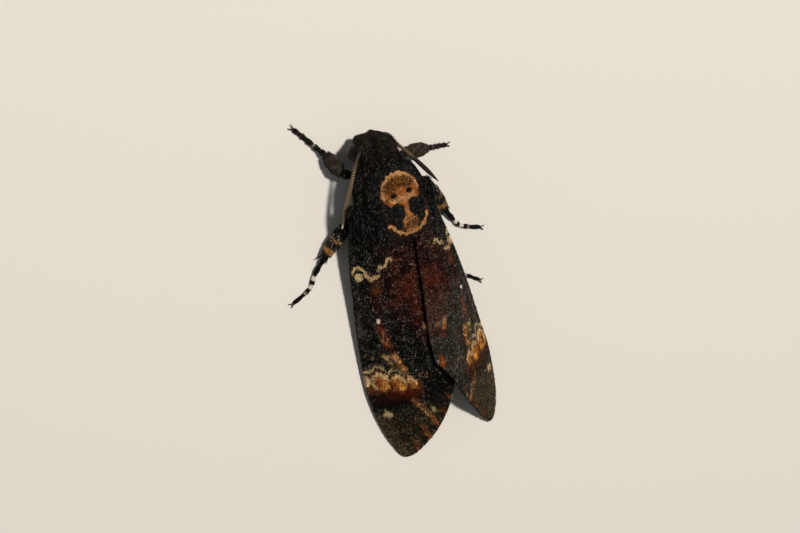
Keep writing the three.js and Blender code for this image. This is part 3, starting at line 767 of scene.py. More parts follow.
def cloudy_material(name, surface, cloud_mm, detail, ramp):
    """A material whose colour drifts between two tones, and its tree, shader and place."""
    material, tree, shader = new_material(name, surface)
    where = node(tree, "ShaderNodeTexCoord").outputs["Object"]
    pattern = {"Scale": 1000 / cloud_mm, "Detail": detail}
    cloud = node(tree, "ShaderNodeTexNoise", pattern, {"Vector": where})
    brown = node(tree, "ShaderNodeValToRGB", None, {"Fac": cloud.outputs["Fac"]})
    for stop, (position, tone) in zip(brown.color_ramp.elements, ramp):
        stop.position, stop.color = position, (*linear(tone), 1)
    tree.links.new(brown.outputs["Color"], shader.inputs["Base Color"])
    return material, tree, shader, where


# Compound lenses: thousands of smooth horny facets, which gleam dully over brown depths.
lenses, tree, shader, where = cloudy_material(
    "compound_lenses", {"Roughness": 0.38, "Specular IOR Level": 0.16}, CLOUD_MM, 2.0,
    ((0.35, "#060403"), (0.7, "#1a110a")),
)
facets = {"Scale": 1000 / FACET_MM, "Randomness": 0.25}
cells = node(tree, "ShaderNodeTexVoronoi", facets, {"Vector": where})
domes = node(
    tree, "ShaderNodeBump", {"Strength": 0.35, "Distance": 0.00002, "invert": True},
    {"Height": cells.outputs["Distance"]},
)
tree.links.new(domes.outputs["Normal"], shader.inputs["Normal"])

for side, letter in ((1, "L"), (-1, "R")):
    bpy.ops.object.select_all(action="DESELECT")
    bpy.ops.mesh.primitive_uv_sphere_add(
        segments=48, ring_count=32, radius=0.001, scale=(EYE_RADIUS, EYE_RADIUS, EYE_RADIUS * EYE_TALL),
        location=tuple(metres([EYE_AT[0] * side, EYE_AT[1], EYE_AT[2]])), rotation=(0, 0, side * EYE_TURN),
    )
    eye = bpy.context.object
    eye.name = f"compound_eye_{letter}"
    bpy.ops.object.transform_apply(location=True, rotation=True, scale=True)
    bpy.ops.object.shade_smooth()
    eye.data.materials.append(lenses)
    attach(eye, "root")
    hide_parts(f"eye_{letter}")

# ---------------------------------------------------------------- proboscis
# A short stout sucking tube of dark horn-like chitin, coiled like a watch spring between the palps.

COIL_AT, COIL_OUTER, COIL_TURNS, COIL_TUBE = (0.0, -15.2, 1.9), 0.74, 2.1, 0.2
COIL_SHRINK, COIL_START, COIL_WIDE, COIL_STEPS, COIL_SIDES = 0.72, 2.2, 1.7, 90, 12
COIL_RINGS, COIL_RING_HEIGHT = 26, 0.07

turned = np.linspace(0, COIL_TURNS * 2 * np.pi, COIL_STEPS)
reach = COIL_OUTER * (1 - COIL_SHRINK * turned / turned[-1])
spiral = np.stack((
    0.02 * np.sin(turned), np.cos(turned + COIL_START) * reach, np.sin(turned + COIL_START) * reach
), 1)
forward = unit(np.gradient(spiral, axis=0))
across = np.tile([1.0, 0.0, 0.0], (len(spiral), 1))
over = unit(np.cross(across, forward))
angle = np.arange(COIL_SIDES) / COIL_SIDES * 2 * np.pi
radius = COIL_TUBE * np.linspace(1.0, 0.55, len(spiral))
radius = radius * (1 + COIL_RING_HEIGHT * np.cos(turned * COIL_RINGS))
ring = across[:, None] * COIL_WIDE * np.cos(angle)[:, None] + over[:, None] * np.sin(angle)[:, None]
proboscis = new_mesh("coiled_proboscis", *loft(spiral[:, None] + ring * radius[:, None, None] + COIL_AT))
face_outwards(proboscis)

# Horn-like chitin: hard, smooth and glossy, brown where it is thin.
HORN_CLOUD_MM = 0.4
horn, *_ = cloudy_material(
    "dark_horn_chitin", {"Roughness": 0.32, "Specular IOR Level": 0.5}, HORN_CLOUD_MM, 3.0,
    ((0.0, "#140a05"), (1.0, "#4a2b14")),
)
proboscis.data.materials.append(horn)
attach(proboscis, "root")
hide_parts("proboscis")

# ---------------------------------------------------------------- antennae
# Stout ringed feelers laid back along the thorax, brown with a thin pale hooked tip. The rings are
# the real joints; the upper face is scaled and the lower one bare.

ANTENNAE = {
    "L": [(2.6, -15.6, 8.5), (4.2, -14.0, 8.9), (6.6, -9.8, 8.6), (8.7, -5.0, 7.2), (10.3, -0.8, 5.9)],
    "R": [(-2.6, -15.6, 8.5), (-4.2, -13.9, 8.3), (-7.2, -9.7, 6.5), (-9.9, -5.6, 4.6), (-12.4, -1.5, 2.9)],
}
ANTENNA_RADII = [0.44, 0.34, 0.4, 0.44, 0.14]
RING_MM = 0.5                     # joints are about 0.3 mm, drawn coarser so that they show
ANTENNA_SIDES, RING_SWELL = 14, 0.13
# The left one shows its scaled upper face, the right one its bare lower face, which is darkened further as
# painted shade.
ANTENNA_BROWN = {"L": "#8a7350", "R": "#2c2017"}
PALE_TIP = {"L": 1.0, "R": 0.3}

# Feeler: satin horn under fine scales, speckled.
SPECKLE_MM = 0.12
feeler = coat_material(
    "scaled_antenna", {"Roughness": 0.5, "Specular IOR Level": 0.4},
    "ShaderNodeTexNoise", {"Scale": 1000 / SPECKLE_MM, "Detail": 2.0}, {"To Min": 0.7, "To Max": 1.3},
)

for letter, path in ANTENNAE.items():
    points, faces = tube(path, ANTENNA_RADII, sides=ANTENNA_SIDES, spacing=RING_MM / 4)
    rings = points[:-2].reshape(-1, ANTENNA_SIDES, 3)
    middle = rings.mean(1, keepdims=True)
    step = np.arange(len(rings))
    swell = 1 + RING_SWELL * np.cos(step * np.pi / 2)[:, None, None]
    points[:-2] = (middle + (rings - middle) * swell).reshape(-1, 3)
    antenna = new_mesh(f"ringed_antenna_{letter}", points, faces)
    face_outwards(antenna)
    along = np.repeat(step / len(rings), ANTENNA_SIDES)
    ridge = np.repeat(0.5 + 0.5 * np.cos(step * np.pi / 2), ANTENNA_SIDES)
    ringed = plain(ANTENNA_BROWN[letter], len(along)) * (0.12 + 0.95 * ridge**1.5)[:, None]
    on = Markings(along, ridge, ringed)
    # Painted shade: each feeler is darkened near its base, beside the head.
    on.wash(fade(0.34, 0.16, along) * 0.85, "#0c0806")
    on.wash(fade(0.91, 0.95, along) * PALE_TIP[letter], "#cfc0a6")
    # Painted light: the right one's ridges are lit tan along its first part.
    if letter == "R":
        on.wash(fade(0.14, 0.2, along) * fade(0.5, 0.38, along) * ridge * 0.7, "#8b7350")
    set_colours(antenna, np.concatenate((on.colour, on.colour[:1], on.colour[-1:])))
    antenna.data.materials.append(feeler)
    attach(antenna, "root")
    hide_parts(f"antenna_{letter}")

# ---------------------------------------------------------------- forewings
# Each forewing is a thin membrane stretched on raised veins and shingled with flat scales. It
# hinges under the tegula, bends over the body like a roof, and the right one lies on the left.

ROOT_Y = -2.6
TIP_Y = {1: 51.6, -1: 51.4}
costa_x = {
    1: track((-2.6, 8.2), (2, 9.7), (8, 10.8), (14, 11.6), (22, 12.6), (30, 13.4), (35, 13.7),
             (40, 13.4), (44, 12.7), (47.5, 11.7), (49.8, 10.8), (51, 10.0), (51.6, 9.1)),
    -1: track((-2.6, 8.2), (2, 9.9), (8, 11.2), (14, 12.2), (22, 13.1), (30, 13.6), (35, 13.9),
              (40, 13.7), (44, 13.3), (47.5, 12.5), (49.6, 11.7), (50.8, 11.0), (51.4, 10.4)),
}
costa_z = track((-2.6, 6.9), (2, 5.4), (8, 4.2), (14, 3.2), (22, 2.2), (30, 1.5), (38, 1.1), (51.9, 0.7))
wing_bend = {
    1: track((-2.6, 10), (6, 50), (16, 66), (30, 78), (38, 62), (44, 40), (48, 22), (51.9, 4)),
    -1: track((-2.6, 10), (6, 46), (16, 52), (30, 52), (38, 42), (44, 30), (48, 16), (51.9, 4)),
}
inner_x = {
    1: track((-2.6, 7.0), (0, 5.8), (2.5, 2.6), (4.7, -0.8), (8, -1.6), (14, -2.0), (22, -2.8), (30, -3.4),
             (35, -3.6), (38, -3.1), (40.5, -2.2), (43.5, -0.7), (46.8, 1.5), (49.2, 4.0), (50.6, 5.9),
             (51.3, 7.2), (51.6, 8.3)),
    -1: track((-2.6, 7.0), (0, 6.0), (2.5, 3.6), (4.7, 1.8), (8, 1.45), (14, 0.85), (22, -0.1),
              (28.2, -0.9), (30.4, -1.0), (33.2, 0.35), (36.3, 2.0), (40, 3.5), (43.5, 5.1),
              (46.4, 6.6), (48.9, 8.0), (50.6, 9.1), (51.4, 9.8)),
}
inner_z = {
    1: track((-2.6, 8.3), (2.5, 10.4), (4.7, 10.9), (8, 10.4), (14, 9.6), (22, 8.8), (30, 7.9), (35, 7.3),
             (40.5, 6.0), (43.5, 5.0), (46.8, 3.6), (49.2, 2.3), (51.6, 0.9)),
    -1: track((-2.6, 8.3), (2.5, 10.8), (4.7, 11.6), (8, 11.4), (14, 10.8), (22, 10.4), (30, 10.0),
              (33, 9.5), (36.2, 8.6), (40, 7.2), (43.5, 5.6), (46.4, 3.8), (48.9, 2.1), (51.4, 0.9)),
}


def roof(side, y, v, depth=0.0):
    """Points of the bent sheet, v from 0 at the costa to 1 at the inner edge, and its width."""
    x0, z0 = costa_x[side](y), costa_z(y)
    dx, dz = x0 - inner_x[side](y), inner_z[side](y) - z0
    half = np.radians(np.maximum(wing_bend[side](y), 1)) / 2
    start = np.arctan2(dz, dx) + half
    radius = np.hypot(dx, dz) / (2 * np.sin(half))
    angle = start - 2 * half * v
    across = radius * (np.sin(start) - np.sin(angle))
    rise = radius * (np.cos(angle) - np.cos(start))
    x = side * (x0 - across - depth * np.sin(angle))
    return np.stack((x, y + 0 * v, z0 + rise - depth * np.cos(angle)), -1), 2 * half * radius


# Places on the wing are (s, y): s mm from the costa along the sheet, y along the body.
VEINS = (
    ((0.8, -2), (0.7, 20), (0.6, 40)),
    ((2.6, -1), (3.3, 8), (3.1, 20), (2.3, 34), (1.2, 46)),
    ((3.3, 10), (4.5, 20), (4.2, 33), (3.0, 46), (2.0, 51)),
    ((5.4, 20), (6.0, 33), (5.1, 46), (4.0, 51)),
    ((6.7, 21), (8.5, 33), (8.0, 45), (7.5, 50)),
    ((8.0, 21), (10.6, 33), (10.9, 42), (10.7, 48)),
    ((8.4, 18), (12.4, 30), (13.3, 38), (13.9, 45)),
    ((7.4, 12), (12.3, 24), (15.2, 33), (16.3, 41)),
    ((4.6, -1), (6.0, 7), (7.4, 12), (8.4, 18), (8.2, 20.6), (6.7, 21), (5.3, 20)),
    ((5.2, -1), (8.8, 8), (12.8, 20), (16.3, 30), (18.3, 35)),
)
VEIN_HEIGHT, VEIN_HALF, TROUGH = 0.16, 0.28, 0.05
TOP_DEPTH, UNDER_DEPTH = 0.24, 0.42       # the film's two sides under the wing's outermost surface


def vein_relief(y, s):
    """Height of the sheet's upper side: raised veins and shallow troughs between them."""
    near = np.full(np.shape(y), 9.0)
    for vein in VEINS:
        near = np.minimum(near, distance_to(s, y, *vein)[0])
    return VEIN_HEIGHT * np.exp(-((near / VEIN_HALF) ** 2)) - TROUGH * fade(0.3, 1.2, near)


def wing_point(side, y, s, lift=0.0):
    """Places on the forewing's upper side, raised by lift."""
    width = roof(side, y, np.zeros_like(y))[1]
    return roof(side, y, s / width, TOP_DEPTH - lift)[0]


SOOT, RUST, DEEP_BROWN, OCHRE, CREAM = "#080605", "#300f07", "#260a03", "#d08a42", "#e8c994"
TAN, ORANGE, OLIVE = "#9a6842", "#8a451c", "#1e170c"

# The black scalloped line that edges the broad pale band on the side of the wing's base.
SCALLOPS = (
    (-0.2, 30.9), (0.9, 31.0), (1.7, 31.2), (2.3, 30.5), (3.2, 30.0), (4.4, 30.3), (5.3, 31.2),
    (5.9, 31.9), (6.5, 31.2), (7.6, 31.4), (8.5, 32.2), (9.1, 32.8), (9.7, 32.2), (10.5, 32.9),
    (11.3, 34.0), (12.4, 33.4), (13.6, 34.6),
)
# The three ochre lobes of the band: middle, half width, half length, and how bright the crest is.
LOBES = (((4.1, 32.9), 1.6, 2.3, 1.0), ((7.4, 33.9), 1.45, 2.2, 0.8), ((9.9, 34.2), 1.1, 1.9, 0.8))


def zones(y, s):
    """How far a place belongs to the rusty field, the olive outer part and the chestnut below the band."""
    rust = spot(s, y, (11.4, 12.6), (4.6, 8.0), soft=0.5)
    rust = np.maximum(rust, spot(s, y, (14.0, 20.5), (2.3, 6.0), turn=-12, soft=0.5))
    rust = np.maximum(rust, spot(s, y, (5.3, 14.8), (1.5, 3.8), soft=0.5) * 0.8)
    chestnut = spot(s, y, (5.6, 37.0), (4.9, 1.8), turn=9, soft=0.4)
    chestnut = np.maximum(chestnut, spot(s, y, (9.3, 36.9), (1.6, 1.8), soft=0.5))
    return rust, fade(37.5, 43, y), chestnut


def forewing_colours(side, y, s):
    """The wing's markings from the base to the tip, with some painted light and shade."""
    if side < 0:
        # The right wing's outer markings sit nearer its costa.
        nearer = np.interp(y, [9, 13, 19.5, 22, 29, 31], [1.5, 1.0, 1.0, 0.2, 0.2, 1.0])
        nearer = np.where(s > 13, 1.0, nearer)
        s = s + nearer * np.interp(s, [0, 9, 11, 12.5, 14.5, 16], [0.8, 1.1, 1.4, 0.3, 0.1, 0.6])
    s0, y0 = s, y
    s = s + 0.10 * ripple(s0, y0, 1.5, 51) + 0.08 * ripple(s0, y0, 0.6, 52)
    y = y + 0.12 * ripple(s0, y0, 1.4, 53) + 0.09 * ripple(s0, y0, 0.6, 54)
    streaky = ripple(s0 * 3.0, y0 * 0.7, 3.3, 55) + 0.7 * ripple(s0 * 3.0, y0 * 1.1, 1.9, 59)
    streaky = fade(-0.9, 1.0, streaky)
    cloudy = fade(-0.8, 0.8, ripple(s0, y0 * 0.6, 1.7, 56) + 0.5 * ripple(s0, y0, 0.8, 57))
    grainy, mottled = grains(s0, y0, 0.25, 58), grains(s0, y0, 0.42, 60)
    on = Markings(s, y, plain(SOOT, len(y)))
    rusty, olive, chestnut = zones(y, s)
    on.wash(olive * 0.9, OLIVE)
    on.wash(rusty * (0.3 + 0.7 * cloudy), RUST)
    # Glowing patches in the rusty field, and black between them.
    for at, radii, turn, tone, strength in (
        ((12.4, 14.0), (1.4, 2.4), 15, "#5f2a16", 0.8), ((9.9, 15.6), (0.9, 1.7), 10, "#4c170e", 0.7),
        ((13.3, 19.3), (0.9, 2.8), -12, "#57241a", 0.7), ((9.4, 9.8), (0.9, 1.2), 0, "#4f1f10", 0.5),
        ((5.5, 13.0), (0.95, 1.45), 0, "#74441f", 0.55), ((8.5, 16.9), (0.6, 1.2), 0, "#5a241f", 0.7),
        ((9.2, 4.6), (2.8, 2.0), 0, "#2b120c", 0.5), ((11.6, 9.6), (2.2, 1.3), 20, "#0d0604", 0.8),
        ((8.0, 13.3), (1.0, 2.6), 5, "#0d0706", 0.75), ((2.6, 14.5), (1.6, 2.8), 0, "#080706", 0.6),
        ((11.3, 18.2), (0.8, 2.2), -16, "#0c0605", 0.7), ((14.6, 16.5), (0.7, 4.0), -8, "#100705", 0.6),
        ((1.5, 13.6), (0.45, 2.6), 0, "#4a3d2c", 0.25), ((1.1, 20.6), (0.5, 2.8), 3, "#4b443a", 0.6),
        ((6.6, 18.6), (2.4, 1.1), 0, "#241c1c", 0.7), ((7.2, 20.7), (0.75, 1.2), 0, "#040303", 0.9),
    ):
        on.spot(at, radii, tone, strength, 0.55 + 0.6 * cloudy, turn=turn, soft=0.6)
    # Black bar before the first line.
    on.spot((3.4, 6.2), (3.8, 0.9), "#050403", 0.85, soft=0.4)
    # First pale line: an arch over a round spot at the costa, a wavy tail, then pinkish steps.
    arch = ((0.8, 9.2), (0.95, 8.65), (1.55, 8.2), (2.35, 8.15), (2.95, 8.5), (3.3, 9.15))
    on.line(0.68, arch, CREAM, soft=0.16)
    tail = ((3.55, 9.5), (3.85, 10.1), (4.4, 10.7), (4.9, 11.0), (5.4, 10.5), (6.0, 10.6))
    on.line(0.66, tail, "#d2ae7c", soft=0.16)
    on.spot((2.0, 10.1), (0.95, 0.82), CREAM, turn=12, soft=0.12)
    on.line(0.5, ((0.95, 9.3), (1.5, 8.95), (2.2, 8.85), (2.8, 9.2), (3.1, 9.9)), "#0c0705", soft=0.14)
    steps = stroke(s, y, 0.7, (6.3, 9.1), (6.6, 8.7), (7.2, 8.65), (7.8, 8.95), soft=0.18)
    hook = stroke(s, y, 0.5, (7.85, 8.5), (7.9, 7.6), (8.45, 7.3), (9.0, 7.8), soft=0.16)
    steps = np.maximum(steps, hook)
    on.wash(steps * (0.8 + 0.2 * streaky), "#ecc79c")
    on.line(0.4, ((9.2, 7.7), (9.9, 8.4), (10.7, 8.0), (11.5, 8.7)), "#7d4e3c", 0.6)
    # Rust streak and ochre streak that run outwards from the discal dot.
    bold = 1.0 if side > 0 else 0.65
    on.line(1.7, ((5.5, 21.0), (6.2, 23.3), (7.0, 25.6)), "#6c2c14", 0.5 + 0.5 * streaky, bold, soft=0.5)
    on.spot((6.15, 23.8), (0.75, 1.9), "#b88252", mottled > 0.42, 0.85, bold, turn=-10, soft=0.5)
    on.spot((5.9, 22.4), (0.9, 2.0), "#1a0905", grainy < 0.25, 0.9, turn=-10, soft=0.5)
    on.spot((6.7, 26.4), (1.0, 0.65), "#070505", 0.95, soft=0.4)
    ochre = 0.45 + 0.55 * (mottled > 0.3)
    on.line(1.25, ((7.5, 27.5), (8.2, 28.9), (9.1, 31.0)), "#b07443", ochre, soft=0.4)
    on.line(0.85, ((7.7, 27.8), (8.3, 29.2), (8.9, 30.6)), "#dfa874", mottled > 0.5, 0.95, soft=0.3)
    broken = 0.15 + 0.8 * (mottled > 0.4)
    on.line(0.6, ((5.3, 27.0), (6.1, 28.2), (7.2, 30.1)), "#b89c66", broken, soft=0.3)
    on.spot((5.9, 27.4), (0.7, 0.6), "#c9ab78", mottled > 0.4, 0.8, soft=0.5)
    for at, radii in (((0.9, 26.7), (0.7, 0.4)), ((3.3, 27.5), (0.8, 0.4)), ((4.6, 28.9), (0.5, 0.3))):
        on.spot(at, radii, "#8a7450", mottled > 0.35, 0.65, soft=0.5)
    # Pale band: two thin wavy lines, cream at the costa, then the three ochre lobes.
    past_edge = y - np.interp(s, *np.array(SCALLOPS).T)
    band = fade(-0.2, 0.4, past_edge) * fade(35.8, 34.0, y - 0.22 * s - 0.5 * (streaky - 0.5))
    on.wash(band * fade(12.2, 11.2, s), "#5e2c10")
    for shift, wide, tone, strength in ((-1.4, 0.26, "#8a7956", 0.2), (-0.6, 0.38, "#d6ba88", 0.9)):
        line = [(a, b + shift) for a, b in SCALLOPS]
        on.line(wide, line, tone, fade(11.0, 5.5, s), strength, soft=0.14)
    on.spot((0.7, 30.55), (1.1, 0.5), CREAM, 0.9, soft=0.3)
    on.spot((0.5, 32.4), (1.0, 1.15), CREAM, soft=0.25)
    on.spot((2.5, 32.9), (0.85, 1.6), "#dcbd84", 0.6 + 0.4 * (mottled > 0.3), turn=-12, soft=0.35)
    for (at_s, at_y), wide, long, crest in LOBES:
        # Each lobe is pale at its crest, ochre below it, and ends in ragged brown streaks.
        reach = long + 0.7 * (streaky - 0.5)
        lobe = spot(s, y, (at_s, at_y), (wide, reach), soft=0.2)
        below_crest = fade(at_y - 1.0, at_y + 1.7, y)
        on.wash(lobe, "#b0652b")
        middle = (at_s + 0.2, at_y + 0.7)
        on.spot(middle, (wide * 0.8, 1.3), OCHRE, lobe, 0.4 + 0.4 * streaky, soft=0.7)
        on.wash(lobe * (1 - streaky) * below_crest * 0.5, "#5a250e")
        on.wash(lobe * (mottled < 0.28) * fade(0.7, 1.6, past_edge) * 0.55, "#57250f")
        glow, dusk = (at_s + 0.55, at_y + 1.0), (at_s - wide * 0.55, at_y + 0.5)
        on.spot(glow, (wide * 0.6, 0.85), "#f0ab58", lobe, 0.2 + 0.75 * (mottled > 0.4), soft=0.7)
        on.spot(dusk, (wide * 0.4, 1.0), "#54240f", lobe, 0.55, soft=0.5)
        depth = past_edge + 0.5 * (0.5 - mottled)
        crested = lobe * fade(0.05, 0.25, past_edge) * fade(1.75, 1.0, depth)
        on.wash(crested * (0.8 + 0.2 * (mottled > 0.3)) * crest, "#efcd98")
    on.line(0.34, SCALLOPS, "#070504", fade(13.5, 10, s), soft=0.12)
    for path in (((5.8, 31.8), (5.9, 34.8)), ((9.0, 32.7), (9.1, 35.4))):
        on.line(0.4, path, "#2a1008", 0.35 + 0.5 * (mottled > 0.4), soft=0.25)
    # Dark chestnut beyond the lobes, with rust showing through, then black.
    on.wash(chestnut * 0.95, DEEP_BROWN)
    rays = (0.12 + 0.3 * streaky) * fade(2.5, 7.5, s)
    rays = np.maximum(rays, spot(s, y, (9.0, 36.6), (1.3, 1.6), soft=0.6) * (0.4 + 0.5 * streaky))
    on.wash(chestnut * rays * fade(38.6, 35.6, y + 1.2 * (mottled - 0.5)), "#702c10")
    on.spot((4.6, 38.6), (4.2, 1.0), "#060403", 0.8, turn=4, soft=0.5)
    # Towards the tip: a pale spot under the costa, an oblique tan streak and rust between the veins.
    under_costa = (2.9, 40.4 if side > 0 else 39.6)
    on.spot(under_costa, (0.95, 0.72), CREAM, 0.7 + 0.3 * grainy, turn=20, soft=0.35)
    streak = 0.2 + 0.3 * streaky + 0.5 * (mottled > 0.4)
    on.line(1.1, ((9.1, 38.4), (9.7, 40.3), (10.3, 42.6), (10.4, 44.3)), TAN, streak, soft=0.5)
    on.line(0.8, ((9.5, 39.6), (9.9, 41.2), (10.3, 42.6)), "#c99c6e", mottled > 0.5, 0.8, soft=0.4)
    on.spot((11.7, 42.1), (0.42, 0.9), "#a69a6d", 0.85, turn=-12, soft=0.4)
    for path, wide, strength in (
        (((13.2, 42.5), (13.7, 44.6)), 0.5, 0.7), (((7.9, 45.0), (7.5, 49.8)), 0.7, 1.0),
        (((4.5, 47.8), (3.9, 50.9)), 0.55, 1.0), (((10.5, 43.9), (11.0, 47.6)), 0.65, 1.0),
        (((15.7, 39.8), (16.2, 41.4)), 0.4, 0.6),
    ):
        ray = stroke(s, y, wide, *path, soft=0.4) * strength
        reached = distance_to(s, y, *path)[1]
        on.wash(ray * (0.3 + 0.3 * streaky + 0.4 * reached), ORANGE)
        on.wash(ray * (mottled > 0.75 - 0.35 * reached) * 0.6, "#cf8a56")
    # Inner part: forked pale spot, rust behind it, orange spot near the inner corner. On the left
    # wing they lie further in, under the right one.
    inner = s - (2.2 if side > 0 else 0.0)
    fork = stroke(inner, y, 0.8, (12.4, 23.3), (12.9, 24.4), (13.4, 25.2), soft=0.3)
    fork = np.maximum(fork, spot(inner, y, (14.3, 23.7), (0.7, 0.5), turn=-15, soft=0.4) * 0.75)
    on.wash(fork * (0.5 + 0.4 * grainy), "#c6966f")
    on.wash(spot(inner, y, (13.1, 25.0), (0.45, 0.6), soft=0.5) * 0.8, "#b0662e")
    on.wash(spot(inner, y, (13.8, 26.2), (0.55, 0.8), soft=0.5) * 0.9, "#5e1f10")
    on.spot((16.2, 31.8), (0.75, 1.5), "#8f4822", 0.6 + 0.4 * (mottled > 0.25), turn=-6, soft=0.35)
    on.spot((16.1, 32.4), (0.4, 0.8), "#b5774a", mottled > 0.4, 0.7, soft=0.5)
    on.spot((17.3, 31.3), (0.32, 0.38), "#b5aca4", soft=0.3)
    for at in ((12.6, 32.7), (13.3, 33.2), (13.0, 34.0), (11.9, 33.1), (14.0, 34.4)):
        on.spot(at, (0.25, 0.22), "#a07c55", 0.7, soft=0.4)
    # The costal side of the tip is paler. The right wing's outer half and the costal side of its tip are
    # lightened as painted light, for the wing that faces the light.
    on.wash(fade(38.5, 40.5, y) * fade(4.0, 1.0, s) * (0.08 + 0.5 * (grainy > 0.6)), "#6b5c46")
    if side < 0:
        # Painted light on the right wing, which faces the light.
        dim = fade(0.08, 0.03, on.colour.mean(1))
        on.wash(dim * fade(15, 20, y) * (0.08 + 0.1 * streaky + 0.3 * (grainy > 0.6)), "#5b4f42")
        on.wash(dim * fade(37, 41, y) * fade(9, 6, s) * (0.25 * streaky + 0.2 * (mottled > 0.6)), "#6b5a46")
    # Painted shadow: the left wing is darkened along its inner margin, where the right wing lies over it
    # and casts its shadow.
    from_margin = s - np.interp(y, [24, 34, 38, 41], [15.2, 16.0, 17.6, 19.5])
    on.wash(fade(-2.4, -0.2, from_margin) * fade(23, 27, y) * 0.85 * (side > 0), "#050404")
    for vein in VEINS[:9]:
        line = stroke(s0, y0, 0.3, *vein, soft=0.15)
        dark_enough = fade(0.12, 0.03, on.colour.mean(1))
        on.wash(line * 0.5 * dark_enough, "#050404")
    on.wash(spot(s0, y0, (5.35, 19.85), (0.43, 0.43), soft=0.14), "#f4e6d2")
    return on.colour


def under_colours(y, s):
    """The wing's underside: plain ochre with two dusky lines and a brown margin."""
    on = Markings(s, y, plain("#8c5f26", len(y)))
    on.wash(fade(14, 4, y) * 0.5, "#4a3018")
    for at in (27.0, 33.0):
        on.wash(1 - fade(0.3, 0.9, np.abs(y - at + 0.5 * ripple(s, y, 4, 61))), "#3a2413")
    on.wash(fade(38, 44, y + 0.4 * ripple(s, y, 2, 62)) * 0.8, "#3c2918")
    return on.colour


# One scale: a thin closed kite, narrow at its root, with a low ridge.
KITE_FACES = np.array([(0, 1, 4), (1, 2, 4), (2, 3, 4), (3, 0, 4), (0, 2, 1), (0, 3, 2)])
KITE_PATCH = np.array([(0.5, 0.0), (1.0, 0.6), (0.5, 1.0), (0.0, 0.6), (0.5, 0.5)])
# Painted shade at a scale's root, where it lies under the scale before it, and painted light at its tip and
# ridge.
KITE_PAINTED_SHADING = np.array([0.7, 1.0, 1.15, 1.0, 1.05])
SHOULDER_AT, RIDGE_HEIGHT = 0.62, 0.035


def kites(root, along, out, length, width, lift):
    """Five points for each scale: root, two shoulders, tip and ridge."""
    across = np.cross(along, out)
    length, width, lift = (np.broadcast_to(v, len(root))[:, None] for v in (length, width, lift))
    start = root - out * 0.02
    shoulder = root + along * length * SHOULDER_AT + out * length * SHOULDER_AT * lift
    tip = root + along * length + out * length * lift * 0.9
    ridge = shoulder + out * RIDGE_HEIGHT
    return np.stack((start, shoulder + across * width / 2, tip, shoulder - across * width / 2, ridge), 1)


# Wing membrane: dry chitin film under flat scales, so it is matt with fine bumps.
FLAKE_MM = 0.25                   # scales are about 0.1 mm wide, drawn coarser so that they show
film = coat_material(
    "scaled_membrane", {"Roughness": 0.85, "Specular IOR Level": 0.05},
    "ShaderNodeTexVoronoi", {"Scale": 1000 / FLAKE_MM}, {"From Max": 0.6, "To Min": 1.3, "To Max": 0.7},
    bump={"Strength": 0.5, "Distance": 0.00005, "invert": True},
)

# Wing scales: ribbed chitin flakes, powdery with a faint silky glint.
POWDER_MM = 0.8
powder = coat_material(
    "wing_scales", {"Roughness": 0.6, "Specular IOR Level": 0.08},
    "ShaderNodeTexNoise", {"Scale": 1000 / POWDER_MM, "Detail": 3.0},
    {"From Min": 0.3, "From Max": 0.7, "To Min": 0.75, "To Max": 1.25},
)


def closed_sheet(name, top, under, top_colour, under_colour):
    """A closed thin sheet from two grids of points, with its colours."""
    rows, columns = top.shape[:2]
    grid = np.arange(rows * columns).reshape(rows, columns)
    quad = np.stack((grid[:-1, :-1], grid[1:, :-1], grid[1:, 1:], grid[:-1, 1:]), -1).reshape(-1, 4)
    lower = quad[:, ::-1] + rows * columns
    rim = np.concatenate((grid[0, :-1], grid[:-1, -1], grid[-1, :0:-1], grid[:0:-1, 0]))
    after = np.roll(rim, -1)
    wall = np.stack((rim, after, after + rows * columns, rim + rows * columns), 1)
    points = np.concatenate((top.reshape(-1, 3), under.reshape(-1, 3)))
    made = new_mesh(name, points, np.concatenate((quad, lower, wall)))
    face_outwards(made)
    set_colours(made, np.concatenate((top_colour, under_colour)))
    made.data.materials.append(film)
    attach(made, "root")
    return made


FRINGE = 0.45                     # how far the hairs of the outer edge reach past the membrane
TIP_INSET = 0.3
SHEET_ROWS, SHEET_COLUMNS, ROWS_TO_TIP = 230, 90, 1.35
SCALE_STEP_Y, SCALE_STEP_S, SCALE_STRAY = 0.19, 0.15, 0.05
# Real scales are about half as large. They are drawn larger so that they show.
SCALE_LENGTH, SCALE_WIDTH, SCALE_ROLL, SCALE_UNLIKE = 0.44, 0.215, 0.2, 0.42
INSIDE_SIDE, INSIDE_TOP, INSIDE_TO_Y = 1.2, 1.6, 5.0      # how deep in the thorax scales are left out
UNWRAP_S, UNWRAP_Y = 20.0, 55.0           # the wing's size on the bake map
# The fringe's hairs: along the side, round the outer corner, over the tip and back.
FRINGE_FROM, CORNER_Y = {1: 35.5, -1: 31.0}, 49.5
ON_SIDE, ON_CORNER, ON_TIP, ON_BACK = 1000, 220, 60, 110


def membrane_limits(side, y):
    """Where the membrane starts and ends across the wing, inside the fringe."""
    width = roof(side, y, 0 * y)[1]
    nearer_tip = np.minimum(y + TIP_INSET * fade(44, 50, y), TIP_Y[side])
    beyond = roof(side, nearer_tip, 0 * y)[1]
    low = 0.35 * (width - beyond)
    return low, low + beyond - FRINGE * fade(24, 34, y) * fade(50.5, 46, y)


def wing_map(y, s):
    """Places on the wing's own unwrap."""
    return np.stack((s / UNWRAP_S, (y - ROOT_Y) / UNWRAP_Y), 1)


